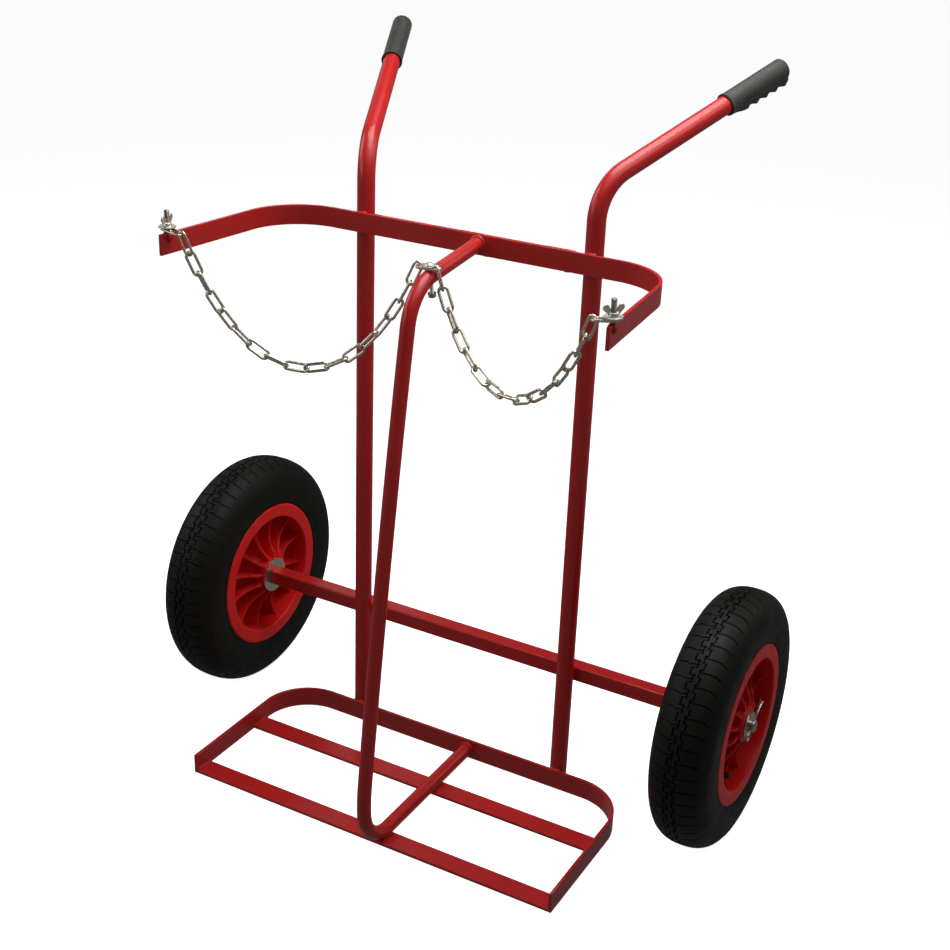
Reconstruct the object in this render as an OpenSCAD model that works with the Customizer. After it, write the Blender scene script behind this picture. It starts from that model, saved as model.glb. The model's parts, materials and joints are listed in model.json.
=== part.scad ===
// Two-wheel gas cylinder cart: welded tube and flat-bar frame, two bays side
// by side, two pneumatic wheels on a through axle, and two restraint chains
// held by wing nuts. Millimetres. X is across the cart, +Y is the handle side,
// Z is up, and the base tray and both tyres stand on z = 0.

/* [Uprights] */
// Distance between the upright tubes, centre to centre
upright_gap = 375.2; // [370:0.2:380]
// Outside diameter of the upright tube
upright_d = 26.9; // [25:0.1:27]
// Wall thickness of the upright tube
upright_wall = 2.6; // [2:0.1:3.2]
// Height at which the upright starts to bend into the handle
bend_height = 925.6; // [910:0.2:950]
// Centre-line radius of the handle bend
bend_r = 70.6; // [62:0.2:80]
// How far the handle is bent over from the vertical, in degrees
bend_turn = 68.7; // [62:0.1:74]
// How far each handle splays out from straight back, in degrees
handle_splay = 23.3; // [16:0.1:28]
// Straight length of the handle after the bend
handle_len = 314; // [290:1:330]

/* [Grips] */
// Overall length of a hand grip
grip_len = 122; // [110:1:130]
// Outside diameter of a hand grip
grip_d = 31.6; // [31:0.1:34]
// Distance between finger ridges under the grip
ridge_pitch = 19.5; // [17:0.5:20]

/* [Hoop] */
// Height of the flat bar that the top hoop is bent from
hoop_bar_h = 30; // [28:1:34]
// Thickness of the hoop bar
hoop_bar_t = 5; // [4:0.5:6]
// Height of the top edge of the hoop above the floor
hoop_top = 883; // [870:1:900]
// Half length of the straight rear run of the hoop
hoop_half = 233.8; // [228:0.2:238]
// Outside radius of the hoop corners
hoop_corner_r = 92.6; // [86:0.2:98]
// Turn of each hoop corner, in degrees
hoop_turn = 84.85; // [82:0.05:88]
// Length of each straight hoop arm
hoop_arm = 188.5; // [180:0.5:195]

/* [Base] */
// Height of the flat bar that the base tray is bent from
base_bar_h = 33; // [30:1:36]
// Thickness of the base bars
base_bar_t = 5; // [4:0.5:6]
// Half length of the straight rear run of the base
base_half = 239.4; // [235:0.2:243]
// Outside radius of the base corners
base_corner_r = 81.8; // [76:0.2:86]
// Distance from the upright line to the front edge of the base
base_front = 288.7; // [284:0.2:294]
// Distance from the upright line to the rear edge of the middle bar
base_middle = 104.5; // [98:0.5:112]

/* [Divider] */
// Outside diameter of the divider tube
divider_d = 21.3; // [20:0.1:22]
// Wall thickness of the divider tube
divider_wall = 2; // [1.6:0.1:2.6]
// Sideways position of the divider foot
divider_x = 28.3; // [26:0.1:30]
// Sideways lean of the divider, in degrees
divider_lean = 1.03; // [0.9:0.01:1.1]

/* [Wheels] */
// Outside diameter of the tyre
wheel_d = 400; // [396:1:404]
// Width of the tyre
tyre_w = 92.7; // [92:0.1:94]
// Distance of each wheel centre from the middle of the cart
wheel_x = 439; // [438.5:0.1:441]
// Number of ribs on each side of the rim
rib_count = 12; // [10:1:14]
// Side of the square axle beam
beam_side = 25; // [24.5:0.1:26]
// Diameter of the round axle rod
rod_d = 20; // [19:0.1:20]

/* [Chains] */
// Wire diameter of the chain links
wire_d = 4; // [3.6:0.1:4]
// Pitch of the chain, the inside length of one link
link_pitch = 30; // [29.8:0.1:30.2]
// Inside width of a chain link
link_w = 8.5; // [8.4:0.1:9]

/* [Fasteners] */
// Diameter of the welded studs at the hoop arm ends
stud_d = 7.9; // [7.86:0.01:7.92]
// Outside diameter of the large stud washers
stud_washer_d = 25; // [22:1:28]
// Diameter of the centre bolt
bolt_d = 6; // [5:0.5:6]

/* [Hidden] */
$fn = 64;

// The upright line is moved so that the whole cart is centred on y = 0.
origin_y = 6.86;
PAINT = [0.66, 0.07, 0.08];
RIM_RED = [0.80, 0.08, 0.08];
RUBBER = [0.10, 0.10, 0.10];
GRIP = [0.16, 0.19, 0.18];
ZINC = [0.74, 0.73, 0.68];
STEEL = [0.55, 0.55, 0.55];

ux = upright_gap / 2;
ur = upright_d / 2;
bar_y = -ur;                         // rear face of the hoop and base bars
hoop_z = hoop_top - hoop_bar_h;
hoop_cy = bar_y - hoop_corner_r;     // centre of the hoop corner arcs
hoop_a0 = 90 - hoop_turn;
base_side_x = base_half + base_corner_r;
axle_y = ur + beam_side / 2;
axle_z = wheel_d / 2;
wheel_r = wheel_d / 2;
rod_r = rod_d / 2;
beam_half = 388;
rod_half = 492;
pin_x = 487;
hub_in = 47.7;                       // hub face towards the cart, from the wheel centre
hub_out = 40.7;                      // hub face away from the cart
hub_tube_r = 15;
bush_r = 12.5;
stud_back = 14.75;                   // stud centre from the end of the hoop arm
link_tilt = 8;                       // how far the end links droop, in degrees
link_z = hoop_top + 4.8;             // centre of the end link at the stud
washer_z = link_z + 3.35;
nut_z = washer_z + 1.65;
stud_top = hoop_top + 32;

module place() { translate([0, origin_y, 0]) children(); }
module pair(s) { if (s > 0) children(); else mirror([1, 0, 0]) children(); }

// ---------------------------------------------------------------- tubes
// A swept tube: each row of seg is [straight length, bend radius, bend angle].
// It starts at the origin along +Z, and every bend turns it towards local +Y.
// A bend runs 1 mm into the straights beside it and is drawn slightly thinner,
// as bending does, so that the lengths join into one solid.
module sweep(seg, r, i = 0) {
    if (i < len(seg)) {
        s = seg[i];
        d = s[1] > 1 ? 180 / (PI * s[1]) : 0;
        cylinder(h = s[0], r = r);
        translate([0, 0, s[0]]) {
            if (s[2] > 0)
                translate([0, s[1], 0]) rotate([90, 0, -90]) rotate([0, 0, -d])
                    rotate_extrude(angle = s[2] + 2 * d, $fn = s[1] > 1000 ? 4800 : s[1] > 200 ? 720 : 180)
                        translate([s[1], 0]) circle(r = r - 0.15);
            translate([0, s[1] * (1 - cos(s[2])), s[1] * sin(s[2])])
                rotate([-s[2], 0, 0]) sweep(seg, r, i + 1);
        }
    }
}

upright_seg = [[bend_height - 1.5, bend_r, bend_turn], [handle_len, 1, 0]];
upright_bore = [[bend_height + 1.5, bend_r, bend_turn], [handle_len + 2, 1, 0]];

module upright(s) {
    place() translate([s * ux, 0, 1.5]) rotate([0, 0, -s * handle_splay])
        difference() {
            sweep(upright_seg, ur);
            translate([0, 0, -3]) sweep(upright_bore, ur - upright_wall);
        }
}

// The local frame of one handle: +Z runs out along it, +Y is its underside.
module handle_frame(s) {
    place() translate([s * ux, 0, 0]) rotate([0, 0, -s * handle_splay])
        translate([0, bend_r * (1 - cos(bend_turn)), bend_height + bend_r * sin(bend_turn)])
            rotate([-bend_turn, 0, 0]) children();
}

module grip(s) {
    z1 = handle_len + 8;
    z0 = z1 - grip_len;
    r = grip_d / 2;
    b = ur + 0.05;
    ridge_z = 33;                    // first ridge from the mouth
    handle_frame(s) {
        rotate_extrude() polygon(concat(
            [[b, z0], [r + 1.6, z0], [r + 1.8, z0 + 1.5], [r + 0.3, z0 + 6], [r, z0 + 9]],
            [for (a = [0:15:90]) [r - 7 + 7 * cos(a), z1 - 7 + 7 * sin(a)]],
            [[0, z1], [0, handle_len + 0.3], [b, handle_len + 0.3]]));
        // finger ridges along the underside
        translate([-8.5, 0, 0]) rotate([90, 0, 90]) linear_extrude(17)
            polygon(concat([[14, z0 + 10], [r - 0.4, z0 + 10]],
                [for (i = [0:4]) each [
                    [r + 4.4 + 0.5 * i, z0 + ridge_z + ridge_pitch * i - 3],
                    [r + 4.9 + 0.5 * i, z0 + ridge_z + ridge_pitch * i],
                    [r + 2.6 + 0.5 * i, z0 + ridge_z + ridge_pitch * i + 5],
                    [r + 2.7 + 0.5 * i, z0 + ridge_z + ridge_pitch * i + 9]]],
                [[r - 4, z1 - 2.2], [14, z1 - 6]]));
    }
}

// ---------------------------------------------------------------- hoop
// The frame of one hoop arm: local -Y runs along the arm from the corner.
module hoop_arm_frame(s) {
    place() pair(s) translate([hoop_half, hoop_cy, 0]) rotate([0, 0, hoop_a0])
        translate([hoop_corner_r - hoop_bar_t / 2, 0, 0]) children();
}

module top_hoop() {
    color(PAINT) difference() {
        union() {
            place() translate([-hoop_half, bar_y - hoop_bar_t, hoop_z])
                cube([2 * hoop_half, hoop_bar_t, hoop_bar_h]);
            for (s = [-1, 1]) {
                // the bent corner, slightly thinner, runs 1 mm into both straights
                place() pair(s) translate([hoop_half, hoop_cy, hoop_z]) rotate([0, 0, hoop_a0 - 0.6])
                    rotate_extrude(angle = hoop_turn + 1.2, $fn = 180)
                        translate([hoop_corner_r - hoop_bar_t + 0.1, 0.1])
                            square([hoop_bar_t - 0.2, hoop_bar_h - 0.2]);
                hoop_arm_frame(s) translate([-hoop_bar_t / 2, -hoop_arm, hoop_z])
                    cube([hoop_bar_t, hoop_arm, hoop_bar_h]);
            }
        }
        // notches that the studs are welded into
        for (s = [-1, 1]) hoop_arm_frame(s)
            translate([0, stud_back - hoop_arm, hoop_top - 12]) cylinder(h = 20, r = stud_d / 2 + 0.05);
    }
}

module hoop_strap() {
    color(PAINT) place() translate([0, bar_y + 5, hoop_z]) rotate([90, 0, 0])
        linear_extrude(5) union() {
            translate([-172, 0]) square([331, hoop_bar_h - 0.5]);
            translate([159, 6]) square([6, hoop_bar_h - 6.5]);
            translate([159, 6]) circle(r = 6);
        }
}

// ---------------------------------------------------------------- divider
divider_seg = [[241, 66, 90], [4, 300, 8.2], [4, 12000, 3.2], [4, 72, 71.8], [140, 1, 0]];
divider_bore = [[242, 66, 90], [4, 300, 8.2], [4, 12000, 3.2], [4, 72, 71.8], [141, 1, 0]];

module divider_frame() {
    place() translate([divider_x, bar_y - hoop_bar_t, base_bar_t + divider_d / 2])
        rotate([0, -divider_lean, 0]) children();
}

// The centre bolt stands on the top bend of the divider, leaning forward.
bolt_tilt = 10;
bolt_drop = 838;                      // height of the bolt's seat above the divider foot
module bolt_frame() {
    divider_frame() translate([0, -148 - bar_y + hoop_bar_t, bolt_drop]) rotate([bolt_tilt, 0, 0]) children();
}

module divider_tube() {
    color(PAINT) difference() {
        divider_frame() rotate([90, 0, 0]) difference() {
            sweep(divider_seg, divider_d / 2);
            translate([0, 0, -1]) sweep(divider_bore, divider_d / 2 - divider_wall);
        }
        place() translate([-60, bar_y - hoop_bar_t, 780]) cube([120, 60, 160]);
        bolt_frame() translate([0, 0, -30]) cylinder(h = 60, r = bolt_d / 2 + 0.2);
    }
}

// ---------------------------------------------------------------- base
module base_frame() {
    y0 = bar_y - base_corner_r;
    color(PAINT) place() union() {
        translate([-base_half, bar_y - base_bar_t, 0]) cube([2 * base_half, base_bar_t, base_bar_h]);
        for (s = [-1, 1]) pair(s) {
            translate([base_half, y0, 0]) rotate_extrude(angle = 90, $fn = 180)
                translate([base_corner_r - base_bar_t, 0]) square([base_bar_t, base_bar_h]);
            translate([base_side_x - base_bar_t, -base_front, 0])
                cube([base_bar_t, base_front + y0, base_bar_h]);
        }
    }
}

module base_cross_bar(y_rear) {
    w = 2 * (base_side_x - base_bar_t);
    color(PAINT) place() translate([-w / 2, y_rear - base_bar_h, 0]) cube([w, base_bar_h, base_bar_t]);
}

// ---------------------------------------------------------------- axle
module axle_beam() {
    color(PAINT) place() translate([0, axle_y, axle_z]) difference() {
        cube([2 * beam_half, beam_side, beam_side], center = true);
        cube([2 * beam_half + 2, beam_side - 4, beam_side - 4], center = true);
    }
}

pin_angle = 40;
module axle_frame() { place() translate([0, axle_y, axle_z]) children(); }

module axle_rod() {
    color(ZINC) axle_frame() difference() {
        rotate([0, 90, 0]) union() {
            translate([0, 0, -rod_half + 1.5]) cylinder(h = 2 * rod_half - 3, r = rod_r);
            translate([0, 0, rod_half - 1.5]) cylinder(h = 1.5, r1 = rod_r, r2 = rod_r - 1.5);
            translate([0, 0, -rod_half]) cylinder(h = 1.5, r1 = rod_r - 1.5, r2 = rod_r);
        }
        for (s = [-1, 1]) translate([s * pin_x, 0, 0]) rotate([pin_angle - 90, 0, 0])
            translate([0, 0, -15]) cylinder(h = 30, r = 2.5);
    }
}

module split_pin(s) {
    color(ZINC) axle_frame() translate([s * pin_x, 0, 0]) rotate([pin_angle - 90, 0, 0]) union() {
        translate([0, 0, -13]) cylinder(h = 26, r = 2.2);
        translate([0, 0, -18.5]) rotate([90, 0, 90]) rotate_extrude() translate([6, 0]) circle(r = 2, $fn = 32);
        for (q = [-1, 1]) translate([0, 0, 12]) rotate([q * 13, 0, 0]) {
            cylinder(h = q > 0 ? 33 : 30, r = 1.7, $fn = 32);
            sphere(r = 1.7, $fn = 32);
        }
    }
}

// ---------------------------------------------------------------- wheels
// Wheel parts are drawn with +Z pointing away from the cart, then laid over.
module wheel_frame(s) {
    axle_frame() pair(s) translate([wheel_x, 0, 0]) rotate([0, 90, 0]) children();
}

// Point t of a superellipse with half width a, half height b and power n
function super(t, a, b, n) = [
    b * sign(sin(t)) * pow(abs(sin(t)), 2 / n),
    a * sign(cos(t)) * pow(abs(cos(t)), 2 / n)];

module tyre(s) {
    hw = tyre_w / 2;
    rc = 153;
    color(RUBBER) wheel_frame(s) rotate_extrude($fn = 180) polygon(concat(
        [for (t = [0:10:180]) super(t, hw, wheel_r - rc, 2.5) + [rc, 0]],
        [[143, -hw + 0.4], [133, -hw + 1.5], [126.2, -hw + 3.9], [121.5, -40.1], [116, -39.8], [107.3, -39.8],
         [107.3, -31], [112, -30.5], [117, -33], [125, -36.5], [136, -39]],
        [for (t = [180:-10:0]) super(t, 40, wheel_r - 10 - rc, 2.3) + [rc, 0]],
        [[136, 39], [125, 36.5], [117, 33], [112, 30.5], [107.3, 31],
         [107.3, 39.8], [116, 39.8], [121.5, 40.1], [126.2, hw - 3.9], [133, hw - 1.5], [143, hw - 0.4]]));
}

module inner_tube(s) {
    color(RUBBER) wheel_frame(s) rotate_extrude($fn = 120) translate([148.5, 0]) difference() {
        polygon([for (t = [0:12:348]) super(t, 37.5, 39.3, 2.4)]);
        polygon([for (t = [0:12:348]) super(t, 35, 36.8, 2.4)]);
    }
}

rib_a0 = 16;
valve_a = -26.3;
valve_r = 82.5;
module valve_frame(s) { wheel_frame(s) rotate([0, 0, valve_a]) children(); }

module rim(s) {
    color(RIM_RED) difference() {
        wheel_frame(s) union() {
            // well, flanges and the dished disc
            rotate_extrude($fn = 180) polygon([
                [103, -44.4], [123.5, -44.4], [125.3, -43.4], [125.6, -42.4], [122, -40.6], [119, -40.2], [107, -40.2],
                [107, 40.2], [119, 40.2], [122, 40.6], [125.6, 42.4], [125.3, 43.4], [123.5, 44.4], [103, 44.4],
                [102.4, 4], [70, 6], [48, 12], [36, 20], [28, 30], [28, hub_out], [20, hub_out], [20, -hub_in], [28, -hub_in],
                [28, -30], [36, -20], [48, -12], [70, -6], [102.4, -4]]);
            translate([0, 0, -hub_in]) cylinder(h = hub_in + hub_out, r = 24);
            // ribs with scooped edges on both faces of the disc
            for (k = [0:rib_count - 1]) rotate([0, 0, rib_a0 + 360 / rib_count * k])
                translate([0, 2.2, 0]) rotate([90, 0, 0]) linear_extrude(4.4) difference() {
                    translate([22, -hub_in + 3]) square([82, hub_in + hub_out - 6]);
                    translate([80, 86]) circle(r = 62, $fn = 180);
                    translate([80, -89]) circle(r = 62, $fn = 180);
                }
        }
        wheel_frame(s) translate([0, 0, -60]) cylinder(h = 120, r = hub_tube_r + 0.02);
        valve_frame(s) translate([90, 0, 12]) rotate([0, 90, 0]) cylinder(h = 30, r = 4.3);
    }
}

module hub_tube(s) {
    color(STEEL) wheel_frame(s) translate([0, 0, 0.2 - hub_in]) difference() {
        cylinder(h = hub_in + hub_out - 0.4, r = hub_tube_r);
        translate([0, 0, -1]) cylinder(h = hub_in + hub_out + 2, r = bush_r);
    }
}

module hub_bushes(s) {
    color([0.9, 0.9, 0.86]) wheel_frame(s) for (z = [0.2 - hub_in, hub_out - 0.2 - 22])
        translate([0, 0, z]) difference() {
            cylinder(h = 22, r = bush_r - 0.02);
            translate([0, 0, -1]) cylinder(h = 24, r = rod_r + 0.06);
        }
}

module valve_stem(s) {
    color(RUBBER) valve_frame(s) union() {
        translate([valve_r, 0, 12]) rotate([0, 90, 0]) cylinder(h = 26, r = 4);
        translate([valve_r, 0, 12]) sphere(r = 4);
        translate([valve_r, 0, 12]) cylinder(h = 12, r = 4);
        translate([valve_r, 0, 23]) cylinder(h = 4.5, r = 2.6);
    }
}

module valve_cap(s) {
    color(RUBBER) valve_frame(s) translate([valve_r, 0, 24.2]) difference() {
        union() {
            cylinder(h = 9, r = 4.4);
            translate([0, 0, 9]) cylinder(h = 1.4, r1 = 4.4, r2 = 3.2);
        }
        translate([0, 0, -1]) cylinder(h = 5, r = 2.8);
    }
}

module washer(d, hole, t) {
    difference() {
        cylinder(h = t, d = d);
        translate([0, 0, -1]) cylinder(h = t + 2, d = hole);
    }
}

module inner_washer(s) {
    color(ZINC) axle_frame() pair(s) translate([beam_half + 0.1, 0, 0]) rotate([0, 90, 0]) washer(60, rod_d + 0.4, 2.8);
}

module outer_washer(s) {
    color(ZINC) axle_frame() pair(s) translate([wheel_x + hub_out + 0.4, 0, 0]) rotate([0, 90, 0]) washer(42, rod_d + 0.4, 3);
}

// ---------------------------------------------------------------- studs
module stud_frame(s) { hoop_arm_frame(s) translate([0, stud_back - hoop_arm, 0]) rotate([0, 0, -hoop_a0]) children(); }

module stud(s) {
    color(ZINC) stud_frame(s) union() {
        translate([0, 0, hoop_top - 12]) cylinder(h = 43, d = stud_d);
        translate([0, 0, hoop_top + 31]) cylinder(h = 1, d1 = stud_d, d2 = stud_d - 2);
    }
}

module stud_washer(s) {
    color(ZINC) stud_frame(s) translate([0, 0, washer_z]) washer(stud_washer_d, 8.5, 1.6);
}

module wing_nut(s, turn) {
    color(ZINC) stud_frame(s) translate([0, 0, nut_z]) rotate([0, 0, turn]) difference() {
        union() {
            cylinder(h = 5, r1 = 7.6, r2 = 6);
            for (q = [0, 180]) rotate([0, 0, q]) translate([0, 1.4, 0]) rotate([90, 0, 0]) linear_extrude(2.8) union() {
                polygon([[3, 0.6], [6.6, 0.6], [13.4, 9.5], [13.4, 12], [6.2, 12], [3, 4.9]]);
                translate([10, 11.2]) circle(r = 4.2);
            }
        }
        translate([0, 0, -1]) cylinder(h = 20, d = stud_d + 0.14);
    }
}

// ---------------------------------------------------------------- chains
link_in = link_pitch + 0.6;           // inside length with a little play
module chain_link() {
    rc = (link_w + wire_d) / 2;
    h = (link_in + wire_d) / 2 - rc;
    for (q = [0, 180]) rotate([0, 0, q]) {
        translate([-h, -rc, 0]) rotate([0, 90, 0]) cylinder(h = 2 * h, d = wire_d, $fn = 48);
        translate([h, 0, 0]) rotate([0, 0, -90]) rotate_extrude(angle = 180, $fn = 64)
            translate([rc, 0]) circle(d = wire_d, $fn = 48);
    }
}

// A hanging chain of n stiff links: the slope grows by the same amount k from
// each link to the next, which is how equal links hang from two fixed ends.
function ones(n) = [for (i = [1:n]) 1];
function run_x(t, k, n) = ones(n) * [for (i = [0:n - 1]) link_pitch / sqrt(1 + pow(t + k * i, 2))];
function run_z(t, k, n) = ones(n) * [for (i = [0:n - 1]) link_pitch * (t + k * i) / sqrt(1 + pow(t + k * i, 2))];
function slope_for(k, dz, n, a = -40, b = 40, it = 40) = let (m = (a + b) / 2)
    it == 0 ? m : run_z(m, k, n) < dz ? slope_for(k, dz, n, m, b, it - 1) : slope_for(k, dz, n, a, m, it - 1);
function gain_for(dx, dz, n, a = 0.02, b = 6, it = 36) = let (m = (a + b) / 2)
    it == 0 ? m : run_x(slope_for(m, dz, n), m, n) > dx ? gain_for(dx, dz, n, m, b, it - 1) : gain_for(dx, dz, n, a, m, it - 1);

module hanging(p, q, n, rolls) {
    dx = norm([q.x - p.x, q.y - p.y]);
    k = gain_for(dx, q.z - p.z, n);
    t = slope_for(k, q.z - p.z, n);
    translate(p) rotate([0, 0, atan2(q.y - p.y, q.x - p.x)])
        for (i = [0:n - 1]) {
            e = atan(t + k * i);
            x = i == 0 ? 0 : run_x(t, k, i);
            z = i == 0 ? 0 : run_z(t, k, i);
            translate([x, 0, z]) rotate([0, -e, 0]) translate([link_pitch / 2, 0, 0])
                rotate([rolls[i], 0, 0]) chain_link();
        }
}

// End points of the two hanging lengths, before the origin shift. A hanging
// link rides a little above the end of the link that carries it. Each link is
// twisted by its own roll; 90 lays a link in the vertical chain plane.
end_reach = 24;
left_end = [-315, -272, link_z - end_reach * sin(link_tilt)];
left_from = left_end + [0.4, -0.3, 1.8];
left_to = [-4.1, -150.4, 868.3];
right_from = [25.5, -152.1, 869.3];
right_end = [315, -271.5, link_z - end_reach * sin(link_tilt)];
right_to = right_end + [-0.3, 0, 1.5];
left_count = 17;
right_count = 15;
left_rolls = [for (i = [0:left_count - 1]) i == 0 ? 112 : i == 1 ? 50 : i == 16 ? 74 : 180 + 72 * i];
right_rolls = [for (i = [0:right_count - 1]) i == 0 ? 119 : i == 1 ? 30 : i == 2 ? 120 : i == 3 ? 50 : i == 14 ? 103 : 60 + 70 * (i - 3)];

module left_chain() { color(ZINC) place() hanging(left_from, left_to, left_count, left_rolls); }
module right_chain() { color(ZINC) place() hanging(right_from, right_to, right_count, right_rolls); }

module chain_end_link(s) {
    p = s < 0 ? left_end : right_end;
    a = s < 0 ? -2 : 181.5;
    color(ZINC) place() translate(p) rotate([0, 0, a]) rotate([0, link_tilt, 0])
        translate([-link_pitch / 2, 0, 0]) chain_link();
}

module chain_centre_link() {
    color(ZINC) bolt_frame() translate([-1.7, 0.2, divider_d / 2 + 2.27]) rotate([0, 0, 4.7]) chain_link();
}

// ---------------------------------------------------------------- centre bolt
bolt_seat = divider_d / 2 + 4.35;
module centre_bolt() {
    color(ZINC) bolt_frame() union() {
        translate([0, 0, -32]) cylinder(h = 32 + bolt_seat + 1.7, d = bolt_d);
        translate([0, 0, bolt_seat + 1.6]) intersection() {
            cylinder(h = 3.6, d = 13);
            translate([0, 0, -5.2]) sphere(r = 8.8, $fn = 96);
        }
    }
}

module centre_bolt_washer() {
    color(ZINC) bolt_frame() translate([0, 0, bolt_seat]) washer(15.8, bolt_d + 0.4, 1.6);
}

module centre_bolt_nut() {
    color(STEEL) bolt_frame() translate([0, 0, -31]) difference() {
        union() {
            cylinder(h = 5, d = 11.4, $fn = 6);
            translate([0, 0, 5]) cylinder(h = 0.9, d = 12.5);
        }
        translate([0, 0, -1]) cylinder(h = 8, d = bolt_d + 0.04);
    }
}

color(PAINT) upright(-1);  // left_upright
color(PAINT) upright(1);  // right_upright
color(GRIP) grip(-1);  // left_grip
color(GRIP) grip(1);  // right_grip
top_hoop();
hoop_strap();
divider_tube();
base_frame();
base_cross_bar(base_bar_h - base_front);  // base_front_bar
base_cross_bar(-base_middle);  // base_middle_bar
axle_beam();
axle_rod();
rim(-1);  // left_rim
rim(1);  // right_rim
tyre(-1);  // left_tyre
tyre(1);  // right_tyre
inner_tube(-1);  // left_inner_tube
inner_tube(1);  // right_inner_tube
hub_tube(-1);  // left_hub_tube
hub_tube(1);  // right_hub_tube
hub_bushes(-1);  // left_hub_bushes
hub_bushes(1);  // right_hub_bushes
valve_stem(-1);  // left_valve_stem
valve_stem(1);  // right_valve_stem
valve_cap(-1);  // left_valve_cap
valve_cap(1);  // right_valve_cap
inner_washer(-1);  // left_inner_washer
inner_washer(1);  // right_inner_washer
outer_washer(-1);  // left_outer_washer
outer_washer(1);  // right_outer_washer
split_pin(-1);  // left_split_pin
split_pin(1);  // right_split_pin
stud(-1);  // left_stud
stud(1);  // right_stud
stud_washer(-1);  // left_stud_washer
stud_washer(1);  // right_stud_washer
wing_nut(-1, 65);  // left_wing_nut
wing_nut(1, 0);  // right_wing_nut
chain_end_link(-1);  // left_chain_end_link
chain_end_link(1);  // right_chain_end_link
left_chain();
right_chain();
chain_centre_link();
centre_bolt();
centre_bolt_washer();
centre_bolt_nut();
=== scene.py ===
import json
import math

import bpy
import numpy as np
from mathutils import Matrix, Vector


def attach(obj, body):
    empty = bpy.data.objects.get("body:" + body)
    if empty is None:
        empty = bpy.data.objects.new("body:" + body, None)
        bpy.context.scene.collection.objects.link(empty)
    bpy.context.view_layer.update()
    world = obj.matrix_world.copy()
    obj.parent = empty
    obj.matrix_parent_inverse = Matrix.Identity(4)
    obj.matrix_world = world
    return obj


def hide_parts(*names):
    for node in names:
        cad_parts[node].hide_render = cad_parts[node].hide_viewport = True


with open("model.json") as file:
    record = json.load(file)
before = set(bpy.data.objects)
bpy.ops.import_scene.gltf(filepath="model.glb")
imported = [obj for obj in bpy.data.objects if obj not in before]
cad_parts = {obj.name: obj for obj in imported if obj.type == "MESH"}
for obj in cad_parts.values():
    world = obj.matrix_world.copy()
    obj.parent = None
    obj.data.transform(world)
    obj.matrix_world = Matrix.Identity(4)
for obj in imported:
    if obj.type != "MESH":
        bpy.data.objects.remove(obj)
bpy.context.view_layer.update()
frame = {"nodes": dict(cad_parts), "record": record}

# ---------------------------------------------------------------------------
# Small toolbox. Everything is written in millimetres and turned to metres when
# a mesh is made.
# ---------------------------------------------------------------------------
OY = 6.86          # the upright line lies this far behind the middle of the cart


def rad(d):
    return d * math.pi / 180.0


def T(x, y, z):
    m = np.eye(4)
    m[:3, 3] = (x, y, z)
    return m


def RX(d):
    c, s = math.cos(rad(d)), math.sin(rad(d))
    return np.array([[1, 0, 0, 0], [0, c, -s, 0], [0, s, c, 0], [0, 0, 0, 1]], float)


def RY(d):
    c, s = math.cos(rad(d)), math.sin(rad(d))
    return np.array([[c, 0, s, 0], [0, 1, 0, 0], [-s, 0, c, 0], [0, 0, 0, 1]], float)


def RZ(d):
    c, s = math.cos(rad(d)), math.sin(rad(d))
    return np.array([[c, -s, 0, 0], [s, c, 0, 0], [0, 0, 1, 0], [0, 0, 0, 1]], float)


def MX():
    return np.diag([-1.0, 1, 1, 1])


def PAIR(s):
    return np.eye(4) if s > 0 else MX()


def apply(m, v):
    v = np.asarray(v, float).reshape(-1, 3)
    return v @ m[:3, :3].T + m[:3, 3]


class Geo:
    """Vertices and faces gathered from several forms."""

    def __init__(self):
        self.v, self.f, self.n = [], [], 0

    def add(self, v, f, m=None, flip=False):
        v = np.asarray(v, float).reshape(-1, 3)
        if m is not None:
            v = apply(m, v)
            if np.linalg.det(m[:3, :3]) < 0:
                flip = not flip
        f = [[int(i) + self.n for i in (reversed(q) if flip else q)] for q in f]
        self.v.append(v)
        self.f += f
        self.n += len(v)
        return self

    def moved(self, m):
        g = Geo()
        v = np.concatenate(self.v)
        g.add(v, self.f, m)
        return g


def grid_faces(ni, nj, wrap_i=False, wrap_j=False):
    """Quads of an ni x nj grid of points, row-major."""
    i = np.arange(ni if wrap_i else ni - 1)
    j = np.arange(nj if wrap_j else nj - 1)
    I, J = np.meshgrid(i, j, indexing="ij")
    I2, J2 = (I + 1) % ni, (J + 1) % nj
    return np.stack([I * nj + J, I2 * nj + J, I2 * nj + J2, I * nj + J2], -1).reshape(-1, 4).tolist()


def emit(name, geo, mat, body, replaces=(), sharp=38.0):
    v = np.concatenate(geo.v) * 0.001
    me = bpy.data.meshes.new(name)
    me.from_pydata([tuple(p) for p in v], [], geo.f)
    me.validate(verbose=False)
    me.calc_loop_triangles()
    tri = np.zeros(len(me.loop_triangles) * 3, int)
    me.loop_triangles.foreach_get("vertices", tri)
    a, b, c = v[tri.reshape(-1, 3)].transpose(1, 0, 2)
    if np.einsum("ij,ij->i", a, np.cross(b, c)).sum() < 0:      # faces point outwards
        me.flip_normals()
    me.polygons.foreach_set("use_smooth", [True] * len(me.polygons))
    if sharp is not None:
        me.set_sharp_from_angle(angle=rad(sharp))
    me.update()
    o = bpy.data.objects.new(name, me)
    bpy.context.scene.collection.objects.link(o)
    me.materials.append(mat)
    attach(o, body)
    if replaces:
        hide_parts(*replaces)
    return o


def hash01(*k):
    """A repeatable number from 0 to 1 out of a few numbers."""
    x = math.sin(sum((i * 12.9898 + 78.233) * (a + 0.137) for i, a in enumerate(k, 1))) * 43758.5453
    return x - math.floor(x)


def wobble(s, seed, n=4):
    """A smooth repeatable wave of s, about -1 to 1."""
    s = np.asarray(s, float)
    out = np.zeros_like(s)
    for k in range(n):
        out += math.pow(0.62, k) * np.sin(s * (1.7 ** k) + 6.283 * hash01(seed, k))
    return out / 2.0


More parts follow.
